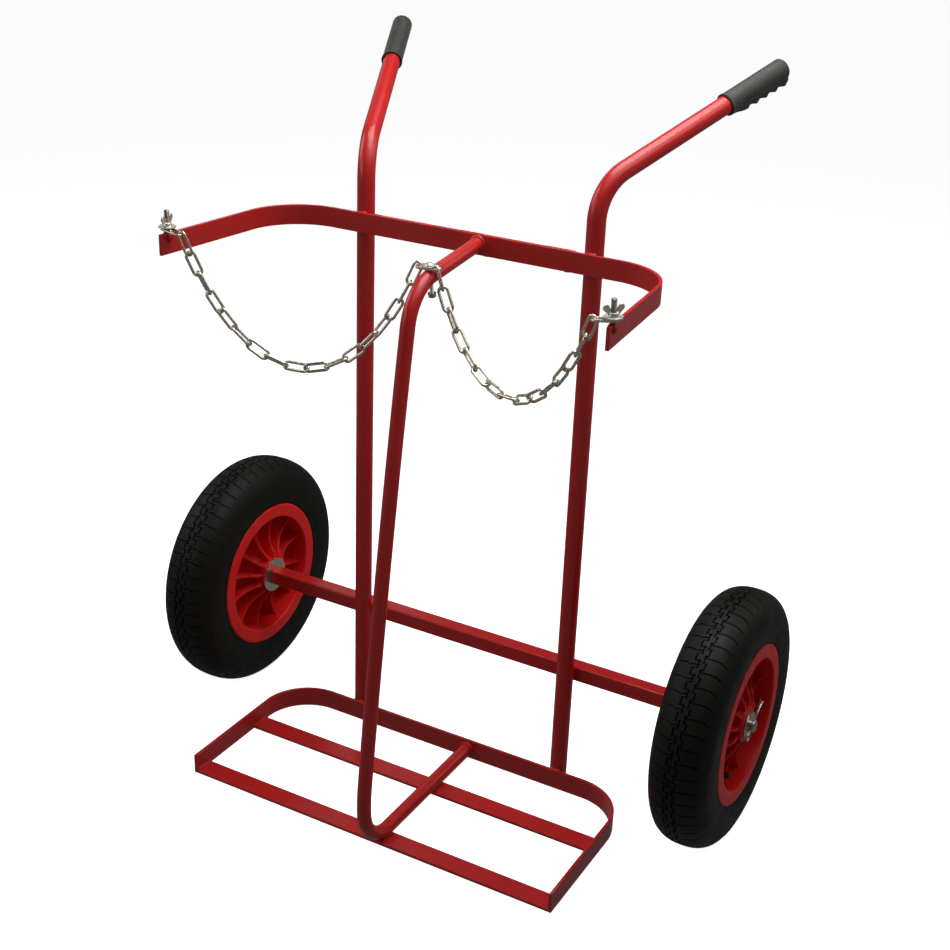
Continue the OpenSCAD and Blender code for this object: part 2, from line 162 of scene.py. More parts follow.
def frames_along(p, ref, closed=False):
    """Tangent, side and up vectors along a path; side starts close to ref and is carried along it."""
    p = np.asarray(p, float)
    if closed:
        t = np.roll(p, -1, 0) - np.roll(p, 1, 0)
    else:
        t = np.gradient(p, axis=0)
        t[0], t[-1] = p[1] - p[0], p[-1] - p[-2]
    t /= np.linalg.norm(t, axis=1)[:, None]
    a = np.zeros_like(p)
    r = np.array(ref, float)
    for i in range(len(p)):
        r = r - t[i] * (r @ t[i])
        r = r / np.linalg.norm(r)
        a[i] = r
    b = np.cross(t, a)
    return t, a, b


def sweep(p, section, ref, closed=False, scale=None, cap=True, bevel=0.0):
    """A section, n x 2, carried along p; the ends are closed, with a small bevel if asked."""
    p = np.asarray(p, float)
    sec = np.asarray(section, float)
    t, a, b = frames_along(p, ref, closed)
    sc = np.ones(len(p)) if scale is None else np.asarray(scale, float)
    rings = [p[i] + sc[i] * (sec[:, :1] * a[i] + sec[:, 1:] * b[i]) for i in range(len(p))]
    if bevel and not closed:
        def inset(q, c, amount):
            d = q - c
            w = np.linalg.norm(d, axis=1)[:, None]
            return q - d / np.maximum(w, 1e-6) * amount
        first = [inset(rings[0], p[0], bevel * k) + t[0] * bevel * m for k, m in ((1, 0), (0.3, 0.3))]
        last = [inset(rings[-1], p[-1], bevel * k) - t[-1] * bevel * m for k, m in ((0.3, 0.3), (1, 0))]
        rings[0] = rings[0] + t[0] * bevel
        rings[-1] = rings[-1] - t[-1] * bevel
        rings = first + rings + last
    g = Geo()
    n = len(sec)
    v = np.concatenate(rings)
    f = grid_faces(len(rings), n, wrap_i=closed, wrap_j=True)
    if cap and not closed:
        f.append(list(range(n)))
        f.append(list(range((len(rings) - 1) * n, len(rings) * n))[::-1])
    area = 0.5 * np.sum(sec[:, 0] * np.roll(sec[:, 1], -1) - np.roll(sec[:, 0], -1) * sec[:, 1])
    g.add(v, f, flip=area > 0)
    return g


def circle(r, n=32):
    a = np.linspace(0, 2 * math.pi, n, endpoint=False)
    return np.stack([r * np.cos(a), r * np.sin(a)], 1)


def rounded_rect(w, h, r, seg=3, support=0.5):
    """A rectangle with rounded corners and extra points beside them, so that the flats shade flat."""
    out = []
    for cx, cy, a0 in ((w / 2 - r, h / 2 - r, 0), (-w / 2 + r, h / 2 - r, 90), (-w / 2 + r, -h / 2 + r, 180), (w / 2 - r, -h / 2 + r, 270)):
        u0 = np.array([math.cos(rad(a0)), math.sin(rad(a0))])
        u1 = np.array([math.cos(rad(a0 + 90)), math.sin(rad(a0 + 90))])
        c = np.array([cx, cy])
        out.append(c + r * u0 - support * u1)
        for k in range(seg + 1):
            a = rad(a0 + 90.0 * k / seg)
            out.append(c + r * np.array([math.cos(a), math.sin(a)]))
        out.append(c + r * u1 - support * u0)
    return np.array(out)


def lathe(profile, n=64, closed=True, m=None):
    """A profile of (radius, height) points turned about Z. The profile is a closed loop unless it ends on the axis."""
    pr = np.asarray(profile, float)
    a = np.linspace(0, 2 * math.pi, n, endpoint=False)
    ring = np.stack([np.cos(a), np.sin(a), np.zeros(n)], 1)
    v, rows = [], []
    k = 0
    for r, z in pr:
        if r < 1e-6:
            v.append(np.array([[0, 0, z]]))
            rows.append([k])
            k += 1
        else:
            v.append(ring * r + np.array([0, 0, z]))
            rows.append(list(range(k, k + n)))
            k += n
    f = []
    pairs = list(zip(rows[:-1], rows[1:]))
    if closed and len(rows[0]) > 1 and len(rows[-1]) > 1:
        pairs.append((rows[-1], rows[0]))
    for q, w in pairs:
        if len(q) == 1 and len(w) == 1:
            continue
        for i in range(n):
            j = (i + 1) % n
            if len(q) == 1:
                f.append([q[0], w[j], w[i]])
            elif len(w) == 1:
                f.append([q[i], q[j], w[0]])
            else:
                f.append([q[i], q[j], w[j], w[i]])
    area = 0.5 * np.sum(pr[:, 0] * np.roll(pr[:, 1], -1) - np.roll(pr[:, 0], -1) * pr[:, 1])
    g = Geo()
    g.add(np.concatenate(v), f, m, flip=area < 0)
    return g


def edge_round(profile, radii, seg=3):
    """Rounds the corners of a closed (radius, height) loop; radii gives one radius for each corner."""
    p = np.asarray(profile, float)
    out = []
    for i in range(len(p)):
        a, b, c = p[i - 1], p[i], p[(i + 1) % len(p)]
        r = radii[i] if hasattr(radii, "__len__") else radii
        if r <= 0:
            out.append(b)
            continue
        u, w = (a - b) / np.linalg.norm(a - b), (c - b) / np.linalg.norm(c - b)
        half = math.acos(max(-1, min(1, float(u @ w)))) / 2
        d = min(r / math.tan(half), 0.45 * np.linalg.norm(a - b), 0.45 * np.linalg.norm(c - b))
        q0, q1 = b + u * d, b + w * d
        out.append(q0 + u * min(0.3, d))
        for k in range(seg + 1):
            t = k / seg
            out.append((1 - t) ** 2 * q0 + 2 * t * (1 - t) * b + t * t * q1)
        out.append(q1 + w * min(0.3, d))
    return np.array(out)


def washer_profile(d, hole, t, r=0.35):
    return edge_round([[hole / 2, 0], [d / 2, 0], [d / 2, t], [hole / 2, t]], r, 2)


# A closed surface round a field that is negative inside, by the surface nets rule.
def nets(field, lo, hi, h):
    lo, hi = np.array(lo, float), np.array(hi, float)
    n = np.ceil((hi - lo) / h).astype(int) + 1
    ax = [lo[k] + h * np.arange(n[k]) for k in range(3)]
    X, Y, Z = np.meshgrid(*ax, indexing="ij")
    F = field(X, Y, Z)
    c = n - 1
    corner = [(i, j, k) for i in (0, 1) for j in (0, 1) for k in (0, 1)]
    val = {q: F[q[0]:q[0] + c[0], q[1]:q[1] + c[1], q[2]:q[2] + c[2]] for q in corner}
    inside = sum((val[q] < 0).astype(int) for q in corner)
    mixed = (inside > 0) & (inside < 8)
    idx = -np.ones(mixed.shape, int)
    idx[mixed] = np.arange(mixed.sum())
    acc = np.zeros((mixed.sum(), 3))
    cnt = np.zeros(mixed.sum())
    for a in corner:
        for d in range(3):
            if a[d]:
                continue
            b = list(a)
            b[d] = 1
            va, vb = val[a][mixed], val[tuple(b)][mixed]
            cross = (va < 0) != (vb < 0)
            t = np.where(cross, va / np.where(cross, va - vb, 1.0), 0.0)
            p = np.zeros((len(va), 3)) + np.array(a, float)
            p[:, d] += t
            acc[cross] += p[cross]
            cnt[cross] += 1
    cell = np.argwhere(mixed)
    v = lo + h * (cell + acc / cnt[:, None])
    f = []
    for d in range(3):
        e1, e2 = [(1, 2), (2, 0), (0, 1)][d]
        sl0 = [slice(1, c[k]) for k in range(3)]
        sl0[d] = slice(0, c[d])
        A = F[tuple(slice(s.start, s.stop) for s in sl0)]
        sl1 = list(sl0)
        sl1[d] = slice(1, c[d] + 1)
        B = F[tuple(sl1)]
        q = np.argwhere((A < 0) != (B < 0))
        if not len(q):
            continue
        q0 = q + np.array([0 if k == d else 1 for k in range(3)])
        neg = (A < 0)[tuple(q.T)]

        def at(o1, o2):
            r = q0.copy()
            r[:, e1] -= o1
            r[:, e2] -= o2
            return idx[tuple(r.T)]
        quad = np.stack([at(1, 1), at(0, 1), at(0, 0), at(1, 0)], 1)
        quad[~neg] = quad[~neg][:, ::-1]
        f += quad.tolist()
    # pull the points onto the surface
    e = h * 0.25
    for _ in range(3):
        g = np.stack([(field(v[:, 0] + e * (k == 0), v[:, 1] + e * (k == 1), v[:, 2] + e * (k == 2)) -
                       field(v[:, 0] - e * (k == 0), v[:, 1] - e * (k == 1), v[:, 2] - e * (k == 2))) / (2 * e) for k in range(3)], 1)
        val0 = field(v[:, 0], v[:, 1], v[:, 2])
        g2 = np.maximum((g * g).sum(1), 0.05)
        v -= np.clip(val0 / g2, -h * 0.4, h * 0.4)[:, None] * g
    out = Geo()
    out.add(v, f)
    return out


def smin(a, b, k):
    h = np.clip(0.5 + 0.5 * (b - a) / k, 0, 1)
    return b * (1 - h) + a * h - k * h * (1 - h)


def smax(a, b, k):
    return -smin(-a, -b, k)


# ---------------------------------------------------------------------------
# Materials. Object coordinates are metres, so a noise scale of 400 has grains
# of about 2.5 mm.
# ---------------------------------------------------------------------------
class Mat:
    def __init__(self, name):
        self.m = bpy.data.materials.new(name)
        self.m.use_nodes = True
        self.t = self.m.node_tree
        self.b = next(n for n in self.t.nodes if n.type == "BSDF_PRINCIPLED")
        self.co = self.t.nodes.new("ShaderNodeTexCoord")

    def node(self, kind, **kw):
        n = self.t.nodes.new(kind)
        for k, v in kw.items():
            setattr(n, k, v)
        return n

    def link(self, a, b):
        self.t.links.new(a, b)

    def noise(self, scale, detail=3.0, rough=0.5, stretch=None, seed=0.0):
        n = self.node("ShaderNodeTexNoise")
        n.inputs["Scale"].default_value = scale
        n.inputs["Detail"].default_value = detail
        n.inputs["Roughness"].default_value = rough
        mp = self.node("ShaderNodeMapping")
        mp.inputs["Location"].default_value = (seed, seed * 1.7, seed * 0.6)
        if stretch:
            mp.inputs["Scale"].default_value = stretch
        self.link(self.co.outputs["Object"], mp.inputs["Vector"])
        self.link(mp.outputs["Vector"], n.inputs["Vector"])
        return n.outputs["Fac"]

    def ramp(self, fac, stops, mode="LINEAR"):
        r = self.node("ShaderNodeValToRGB")
        r.color_ramp.interpolation = mode
        el = r.color_ramp.elements
        while len(el) > 1:
            el.remove(el[-1])
        el[0].position = stops[0][0]
        el[0].color = self.rgba(stops[0][1])
        for pos, col in stops[1:]:
            e = el.new(pos)
            e.color = self.rgba(col)
        self.link(fac, r.inputs["Fac"])
        return r.outputs["Color"]

    @staticmethod
    def rgba(c):
        return (c, c, c, 1) if isinstance(c, (int, float)) else (*c, 1)

    def mix(self, fac, a, b, kind="MIX"):
        n = self.node("ShaderNodeMix", data_type="RGBA", blend_type=kind)
        for sock, val in ((n.inputs[0], fac), (n.inputs[6], a), (n.inputs[7], b)):
            if hasattr(val, "is_linked"):
                self.link(val, sock)
            elif isinstance(val, (int, float)):
                sock.default_value = val if sock is n.inputs[0] else (val, val, val, 1)
            else:
                sock.default_value = (*val, 1)
        return n.outputs[2]

    def math(self, op, a, b=0.0):
        n = self.node("ShaderNodeMath", operation=op)
        for sock, val in ((n.inputs[0], a), (n.inputs[1], b)):
            if hasattr(val, "is_linked"):
                self.link(val, sock)
            else:
                sock.default_value = val
        return n.outputs[0]

    def spread(self, fac, lo, hi, a=0.35, b=0.65):
        n = self.node("ShaderNodeMapRange")
        self.link(fac, n.inputs["Value"])
        n.inputs["From Min"].default_value = a
        n.inputs["From Max"].default_value = b
        n.inputs["To Min"].default_value = lo
        n.inputs["To Max"].default_value = hi
        return n.outputs["Result"]

    def bump(self, height, strength, distance, below=None):
        n = self.node("ShaderNodeBump")
        n.inputs["Strength"].default_value = strength
        n.inputs["Distance"].default_value = distance
        self.link(height, n.inputs["Height"])
        if below is not None:
            self.link(below, n.inputs["Normal"])
        return n.outputs["Normal"]

    def set(self, **kw):
        for k, v in kw.items():
            s = self.b.inputs[k.replace("_", " ")]
            if hasattr(v, "is_linked"):
                self.link(v, s)
            elif isinstance(v, tuple) and len(v) == 3 and s.type == "RGBA":
                s.default_value = (*v, 1)
            else:
                s.default_value = v
        return self.m


def make_paint():
    m = Mat("red_enamel")
    big = m.noise(7, 3, 0.5)
    col = m.mix(m.spread(big, 0.0, 1.0), (0.530, 0.0155, 0.0150), (0.570, 0.0175, 0.0170))
    thin = m.noise(260, 3, 0.55, seed=3.0)
    col = m.mix(m.spread(thin, 0.0, 0.16, 0.45, 0.75), col, (0.40, 0.010, 0.011))
    specks = m.noise(1900, 2, 0.5, seed=7.0)
    col = m.mix(m.spread(specks, 0.0, 0.30, 0.74, 0.82), col, (0.50, 0.09, 0.08))
    peel = m.noise(520, 2, 0.45, seed=1.0)
    dust = m.noise(2600, 2, 0.5, seed=2.0)
    n1 = m.bump(peel, 0.07, 0.0003)
    n2 = m.bump(dust, 0.03, 0.0002, n1)
    rough = m.spread(m.noise(70, 4, 0.6, seed=5.0), 0.30, 0.38)
    return m.set(Base_Color=col, Roughness=rough, Normal=n2, Coat_Weight=0.20, Coat_Roughness=0.14, Specular_IOR_Level=0.42)


def make_rim():
    m = Mat("rim_red_plastic")
    big = m.noise(14, 3, 0.5, seed=2.0)
    col = m.mix(m.spread(big, 0.0, 1.0), (0.70, 0.0100, 0.0095), (0.78, 0.0140, 0.0125))
    flow = m.noise(70, 4, 0.6, seed=4.0)
    col = m.mix(m.spread(flow, 0.0, 0.3, 0.45, 0.7), col, (0.58, 0.0070, 0.0075))
    # painted highlight: past about 103 mm from the axle the flange ring gets a brighter red than the rest of the same
    # moulding, standing in for the light the flange catches
    sub = m.node("ShaderNodeVectorMath", operation="SUBTRACT")
    m.link(m.co.outputs["Object"], sub.inputs[0])
    sub.inputs[1].default_value = (0.0, 0.0328, 0.2)
    flat = m.node("ShaderNodeVectorMath", operation="MULTIPLY")
    m.link(sub.outputs["Vector"], flat.inputs[0])
    flat.inputs[1].default_value = (0.0, 1.0, 1.0)
    far = m.node("ShaderNodeVectorMath", operation="LENGTH")
    m.link(flat.outputs["Vector"], far.inputs[0])
    ring = m.spread(far.outputs["Value"], 0.0, 1.0, 0.1028, 0.1036)
    painted_flange_highlight = m.mix(m.spread(flow, 0.0, 1.0), (1.0, 0.0210, 0.0170), (0.94, 0.0170, 0.0145))
    # lay the painted highlight red over the flange ring
    col = m.mix(ring, col, painted_flange_highlight)
    grain = m.noise(1800, 3, 0.6, seed=1.0)
    soft = m.noise(260, 2, 0.5, seed=6.0)
    n1 = m.bump(soft, 0.08, 0.0004)
    n2 = m.bump(grain, 0.08, 0.0002, n1)
    rough = m.spread(m.noise(90, 4, 0.6, seed=8.0), 0.36, 0.46)
    return m.set(Base_Color=col, Roughness=rough, Normal=n2, Specular_IOR_Level=0.28)


def make_tyre():
    m = Mat("tyre_black_rubber")
    a = m.noise(25, 4, 0.6)
    col = m.mix(m.spread(a, 0.0, 1.0), (0.0050, 0.0056, 0.0042), (0.0082, 0.0090, 0.0068))
    fleck = m.noise(420, 4, 0.65, seed=11.0)
    col = m.mix(m.spread(fleck, 0.0, 0.75, 0.42, 0.72), col, (0.0142, 0.0152, 0.0112))
    bloom = m.noise(150, 5, 0.65, seed=3.0)
    col = m.mix(m.spread(bloom, 0.0, 0.5, 0.5, 0.75), col, (0.0180, 0.0190, 0.0150))
    grain = m.noise(1400, 4, 0.65, seed=5.0)
    wave = m.noise(260, 3, 0.5, seed=9.0)
    n1 = m.bump(wave, 0.22, 0.0008)
    n2 = m.bump(grain, 0.35, 0.0003, n1)
    rough = m.spread(m.noise(45, 4, 0.6, seed=8.0), 0.48, 0.62)
    return m.set(Base_Color=col, Roughness=rough, Normal=n2, Specular_IOR_Level=0.22)


def make_rubber(name="black_rubber", base=(0.018, 0.018, 0.018)):
    m = Mat(name)
    a = m.noise(120, 4, 0.6)
    col = m.mix(m.spread(a, 0.0, 1.0), tuple(x * 0.8 for x in base), tuple(x * 1.35 for x in base))
    n2 = m.bump(m.noise(2200, 3, 0.6, seed=5.0), 0.2, 0.0002)
    rough = m.spread(m.noise(300, 3, 0.5, seed=8.0), 0.42, 0.58)
    return m.set(Base_Color=col, Roughness=rough, Normal=n2, Specular_IOR_Level=0.45)


def make_grip():
    m = Mat("grip_grey_rubber")
    a = m.noise(60, 4, 0.6)
    col = m.mix(m.spread(a, 0.0, 1.0), (0.025, 0.0255, 0.0200), (0.036, 0.0365, 0.0295))
    b = m.noise(700, 4, 0.6, seed=4.0)
    col = m.mix(m.spread(b, 0.0, 0.4, 0.5, 0.8), col, (0.052, 0.051, 0.042))
    grain = m.noise(2600, 3, 0.6, seed=5.0)
    n1 = m.bump(m.noise(500, 3, 0.5, seed=2.0), 0.14, 0.0003)
    n2 = m.bump(grain, 0.25, 0.0002, n1)
    rough = m.spread(m.noise(200, 4, 0.6, seed=8.0), 0.50, 0.62)
    return m.set(Base_Color=col, Roughness=rough, Normal=n2, Specular_IOR_Level=0.5, Sheen_Weight=0.12, Sheen_Roughness=0.4)


def make_metal(name, c0, c1, r0, r1, grain=900, bump=0.05, stretch=None, metallic=1.0):
    m = Mat(name)
    a = m.noise(180, 4, 0.6, seed=1.0)
    col = m.mix(m.spread(a, 0.0, 1.0), c0, c1)
    b = m.noise(900, 3, 0.6, seed=6.0)
    col = m.mix(m.spread(b, 0.0, 0.30, 0.58, 0.85), col, tuple(x * 0.62 for x in c0))
    n1 = m.bump(m.noise(grain, 4, 0.6, stretch=stretch, seed=3.0), bump, 0.0001)
    rough = m.spread(m.noise(420, 4, 0.6, seed=8.0), r0, r1)
    return m.set(Base_Color=col, Metallic=metallic, Roughness=rough, Normal=n1)


def make_nylon():
    m = Mat("nylon")
    a = m.noise(200, 3, 0.5)
    col = m.mix(m.spread(a, 0.0, 1.0), (0.74, 0.72, 0.66), (0.80, 0.78, 0.72))
    return m.set(Base_Color=col, Roughness=0.45, Normal=m.bump(m.noise(1500, 3, 0.5), 0.1, 0.0002))


PAINT = make_paint()
RIM = make_rim()
TYRE = make_tyre()
GRIP = make_grip()
BLACK = make_rubber()
CAP = make_rubber("cap_black_plastic", (0.012, 0.012, 0.012))
ZINC = make_metal("zinc_plate", (0.66, 0.62, 0.49), (0.80, 0.76, 0.63), 0.22, 0.33, bump=0.03, metallic=0.95)
SATIN = make_metal("zinc_satin", (0.78, 0.775, 0.69), (0.90, 0.895, 0.81), 0.33, 0.44, bump=0.02, metallic=0.86)
STUD = make_metal("stud_steel", (0.27, 0.235, 0.185), (0.40, 0.355, 0.285), 0.34, 0.48, 700, 0.1)
STEEL = make_metal("turned_steel", (0.40, 0.39, 0.37), (0.52, 0.51, 0.48), 0.28, 0.42, 700, 0.08)
NYLON = make_nylon()

# ---------------------------------------------------------------------------
# Frame: tubes
# ---------------------------------------------------------------------------
UX, UR, UWALL = 187.6, 13.45, 2.6
SPLAY, BEND_Z, BEND_R, BEND_TURN, HANDLE = 23.3, 925.6, 70.6, 68.7, 314.0
BAR_Y = -UR


def planar_path(segs, step=2.0):
    """Points (along, side) of a path of [straight, radius, angle] rows, like the tubes are bent."""
    pts = [(0.0, 0.0)]
    x = y = 0.0
    a = 0.0                                    # heading, from the first axis towards the second
    for s, r, turn in segs:
        if s > 0:
            x, y = x + s * math.cos(a), y + s * math.sin(a)
            pts.append((x, y))
        if turn > 0:
            k = max(4, int(math.ceil(turn / step))) if r < 1000 else 10
            cx, cy = x - r * math.sin(a), y + r * math.cos(a)
            for i in range(1, k + 1):
                b = a + rad(turn) * i / k
                pts.append((cx + r * math.sin(b), cy - r * math.cos(b)))
            a += rad(turn)
            x, y = pts[-1]
    return np.array(pts)


def pipe(p, r_out, r_in, ref, n=56, ends=(True, True)):
    """A tube with its bore; the ends are flat with small bevels."""
    p = np.asarray(p, float)
    t, a, b = frames_along(p, ref)
    ang = np.linspace(0, 2 * math.pi, n, endpoint=False)
    def ring(i, r, shift=0.0):
        return p[i] + t[i] * shift + r * (np.cos(ang)[:, None] * a[i] + np.sin(ang)[:, None] * b[i])
    c = 0.4
    rings = [ring(0, r_out - c), ring(0, r_out - 0.12, 0.12), ring(0, r_out, c), ring(0, r_out, c + 0.6)]
    rings += [ring(i, r_out) for i in range(1, len(p) - 1)]
    rings += [ring(-1, r_out, -c - 0.6), ring(-1, r_out, -c), ring(-1, r_out - 0.12, -0.12), ring(-1, r_out - c)]
    rings += [ring(-1, r_in + c), ring(-1, r_in, -c)]
    rings += [ring(i, r_in) for i in range(len(p) - 2, 0, -1)]
    rings += [ring(0, r_in, c), ring(0, r_in + c)]
    g = Geo()
    g.add(np.concatenate(rings), grid_faces(len(rings), n, wrap_i=True, wrap_j=True), flip=True)
    return g


def upright_path(s):
    q = planar_path([[BEND_Z - 1.5, BEND_R, BEND_TURN], [HANDLE, 1, 0]])
    o = np.array([s * math.sin(rad(SPLAY)), math.cos(rad(SPLAY)), 0.0])
    base = np.array([s * UX, OY, 1.5])
    # a few stations on the straights keep the long quads short
    out = [base + o * q[0, 1] + np.array([0, 0, q[0, 0]])]
    for k in range(1, len(q)):
        a0, a1 = q[k - 1], q[k]
        m = max(1, int(np.linalg.norm(a1 - a0) / 60))
        for i in range(1, m + 1):
            w = a0 + (a1 - a0) * i / m
            out.append(base + o * w[1] + np.array([0, 0, w[0]]))
    return np.array(out)


def handle_frame(s):
    return T(s * UX, OY, 0) @ RZ(-s * SPLAY) @ T(0, BEND_R * (1 - math.cos(rad(BEND_TURN))), BEND_Z + BEND_R * math.sin(rad(BEND_TURN))) @ RX(-BEND_TURN)


for s, side in ((-1, "left"), (1, "right")):
    emit(f"{side}_upright_pipe", pipe(upright_path(s), UR, UR - UWALL, (1, 0, 0)), PAINT, "frame", [f"{side}_upright"])

# divider -------------------------------------------------------------------
DIV_R, DIV_WALL, DIV_X, DIV_LEAN = 10.65, 2.0, 28.3, 1.03
DIV = T(DIV_X, OY + BAR_Y - 5, 5 + DIV_R) @ RY(-DIV_LEAN)


def divider_path():
    q = planar_path([[241, 66, 90], [4, 300, 8.2], [4, 12000, 3.2], [4, 72, 71.8], [140, 1, 0]])
    p = np.stack([np.zeros(len(q)), -q[:, 0], q[:, 1]], 1)
    p = apply(DIV, p)
    y1 = OY + BAR_Y - 5                       # the tube stops at the hoop's front face
    a, b = p[-2], p[-1]
    t = (y1 + 0.3 - a[1]) / (b[1] - a[1])
    p[-1] = a + (b - a) * t
    out = [p[0]]
    for k in range(1, len(p)):
        m = max(1, int(np.linalg.norm(p[k] - p[k - 1]) / 60))
        for i in range(1, m + 1):
            out.append(p[k - 1] + (p[k] - p[k - 1]) * i / m)
    return np.array(out)


DIVIDER = divider_path()
emit("divider_pipe", pipe(DIVIDER, DIV_R, DIV_R - DIV_WALL, (1, 0, 0), 48), PAINT, "frame", ["divider_tube"])

# ---------------------------------------------------------------------------
# Frame: bars
# ---------------------------------------------------------------------------
HOOP_HALF, HOOP_R, HOOP_TURN, HOOP_ARM, HOOP_TOP, HOOP_H = 233.8, 92.6, 84.85, 188.5, 883.0, 30.0
HOOP_A0 = 90 - HOOP_TURN


def u_path(half, r_mid, turn, arm, y_mid, z):
    """Centre line of a U bar, from the left arm's end round to the right arm's end."""
    right = [(0.0, y_mid), (half * 0.5, y_mid), (half - 1.0, y_mid), (half, y_mid)]
    cy = y_mid - r_mid
    k = int(math.ceil(turn / 2.0))
    for i in range(1, k + 1):
        a = rad(90 - turn * i / k)
        right.append((half + r_mid * math.cos(a), cy + r_mid * math.sin(a)))
    a0 = rad(90 - turn)
    ex, ey = right[-1]
    d = (math.sin(a0), -math.cos(a0))
    for w in (1.0, arm * 0.33, arm * 0.66, arm):
        right.append((ex + d[0] * w, ey + d[1] * w))
    left = [(-x, y) for x, y in reversed(right[1:])]
    return np.array([(x, y + OY, z) for x, y in left + right])


def bar_along(p, t, h, r=0.75, bevel=0.45):
    return sweep(p, rounded_rect(t, h, r), (0, 1, 0) if abs((p[1] - p[0])[0]) > abs((p[1] - p[0])[1]) else (1, 0, 0), bevel=bevel)


emit("hoop_bar", bar_along(u_path(HOOP_HALF, HOOP_R - 2.5, HOOP_TURN, HOOP_ARM, BAR_Y - 2.5, HOOP_TOP - HOOP_H / 2), 5.0, HOOP_H), PAINT, "frame", ["top_hoop"])
BASE_HALF, BASE_R, BASE_FRONT, BASE_H, BASE_MID = 239.4, 81.8, 288.7, 33.0, 104.5
BASE_SIDE = BASE_HALF + BASE_R
emit("base_bar", bar_along(u_path(BASE_HALF, BASE_R - 2.5, 90, BASE_FRONT - (-BAR_Y) - BASE_R, BAR_Y - 2.5, BASE_H / 2), 5.0, BASE_H), PAINT, "frame", ["base_frame"])


def cross_bar(y_rear):
    w = BASE_SIDE - 5.0
    y = y_rear - BASE_H / 2 + OY
    p = np.array([[-w, y, 2.5], [-w / 2, y, 2.5], [0, y, 2.5], [w / 2, y, 2.5], [w, y, 2.5]], float)
    return sweep(p, rounded_rect(BASE_H, 5.0, 0.75), (0, 1, 0))


emit("front_bar", cross_bar(BASE_H - BASE_FRONT), PAINT, "frame", ["base_front_bar"])
emit("middle_bar", cross_bar(-BASE_MID), PAINT, "frame", ["base_middle_bar"])

# stiffening strap behind the hoop, with one rounded end
strap = [(-171.2, 0.6), (-171.8, 1.4), (-172, 2.4), (-172, 27.4), (-171.6, 28.8), (-170.6, 29.4), (163, 29.4), (164.4, 28.8), (165, 27.6), (165, 6.5)]
strap += [(159 + 6 * math.cos(rad(a)), 6 + 6 * math.sin(rad(a))) for a in range(0, -91, -15)]
strap += [(-170, 0.0)]
sx = np.array(strap)


def plate(outline, t, bevel=0.5):
    """A flat plate in the x-z plane from y = 0 to y = t with bevelled edges."""
    n = len(outline)
    c = outline.mean(0)
    prev, nxt = np.roll(outline, 1, 0), np.roll(outline, -1, 0)
    tan = nxt - prev
    nrm = np.stack([tan[:, 1], -tan[:, 0]], 1)
    nrm /= np.maximum(np.linalg.norm(nrm, axis=1), 1e-9)[:, None]
    area = 0.5 * np.sum(outline[:, 0] * nxt[:, 1] - nxt[:, 0] * outline[:, 1])
    if area < 0:
        nrm = -nrm
    rings = []
    for y, d in ((0, bevel * 1.0), (bevel * 0.3, bevel * 0.3), (bevel, 0), (t - bevel, 0), (t - bevel * 0.3, bevel * 0.3), (t, bevel)):
        q = outline - nrm * d
        rings.append(np.stack([q[:, 0], np.full(n, y), q[:, 1]], 1))
    f = grid_faces(len(rings), n, wrap_j=True)
    f.append(list(range(n)))
    f.append(list(range((len(rings) - 1) * n, len(rings) * n))[::-1])
    g = Geo()
    g.add(np.concatenate(rings), f, flip=area > 0)
    return g


emit("strap_plate", plate(sx, 3.2).moved(T(0, BAR_Y + OY + 1.8, HOOP_TOP - HOOP_H)), PAINT, "frame", ["hoop_strap"])

# axle beam: a square tube with rounded corners ------------------------------
AX_Y, AX_Z, BEAM, BEAM_HALF = UR + 12.5, 200.0, 25.0, 388.0
xs = [-BEAM_HALF, -BEAM_HALF + 0.5, -BEAM_HALF + 1.2] + list(np.linspace(-330, 330, 12)) + [BEAM_HALF - 1.2, BEAM_HALF - 0.5, BEAM_HALF]


def beam():
    out = rounded_rect(BEAM, BEAM, 2.6, 5, 0.8)
    inn = rounded_rect(BEAM - 5, BEAM - 5, 1.2, 5, 0.8)
    rings = []
    for k, x in enumerate(xs):
        sc = (BEAM - 0.8) / BEAM if k in (0, len(xs) - 1) else 1.0
        rings.append(np.stack([np.full(len(out), x), out[:, 0] * sc, out[:, 1] * sc], 1))
    for x in (BEAM_HALF, BEAM_HALF - 0.6, -BEAM_HALF + 0.6, -BEAM_HALF):
        rings.append(np.stack([np.full(len(inn), x), inn[:, 0], inn[:, 1]], 1))
    g = Geo()
    g.add(np.concatenate(rings), grid_faces(len(rings), len(out), wrap_i=True, wrap_j=True), T(0, AX_Y + OY, AX_Z), flip=True)
    return g


emit("beam_tube", beam(), PAINT, "frame", ["axle_beam"])

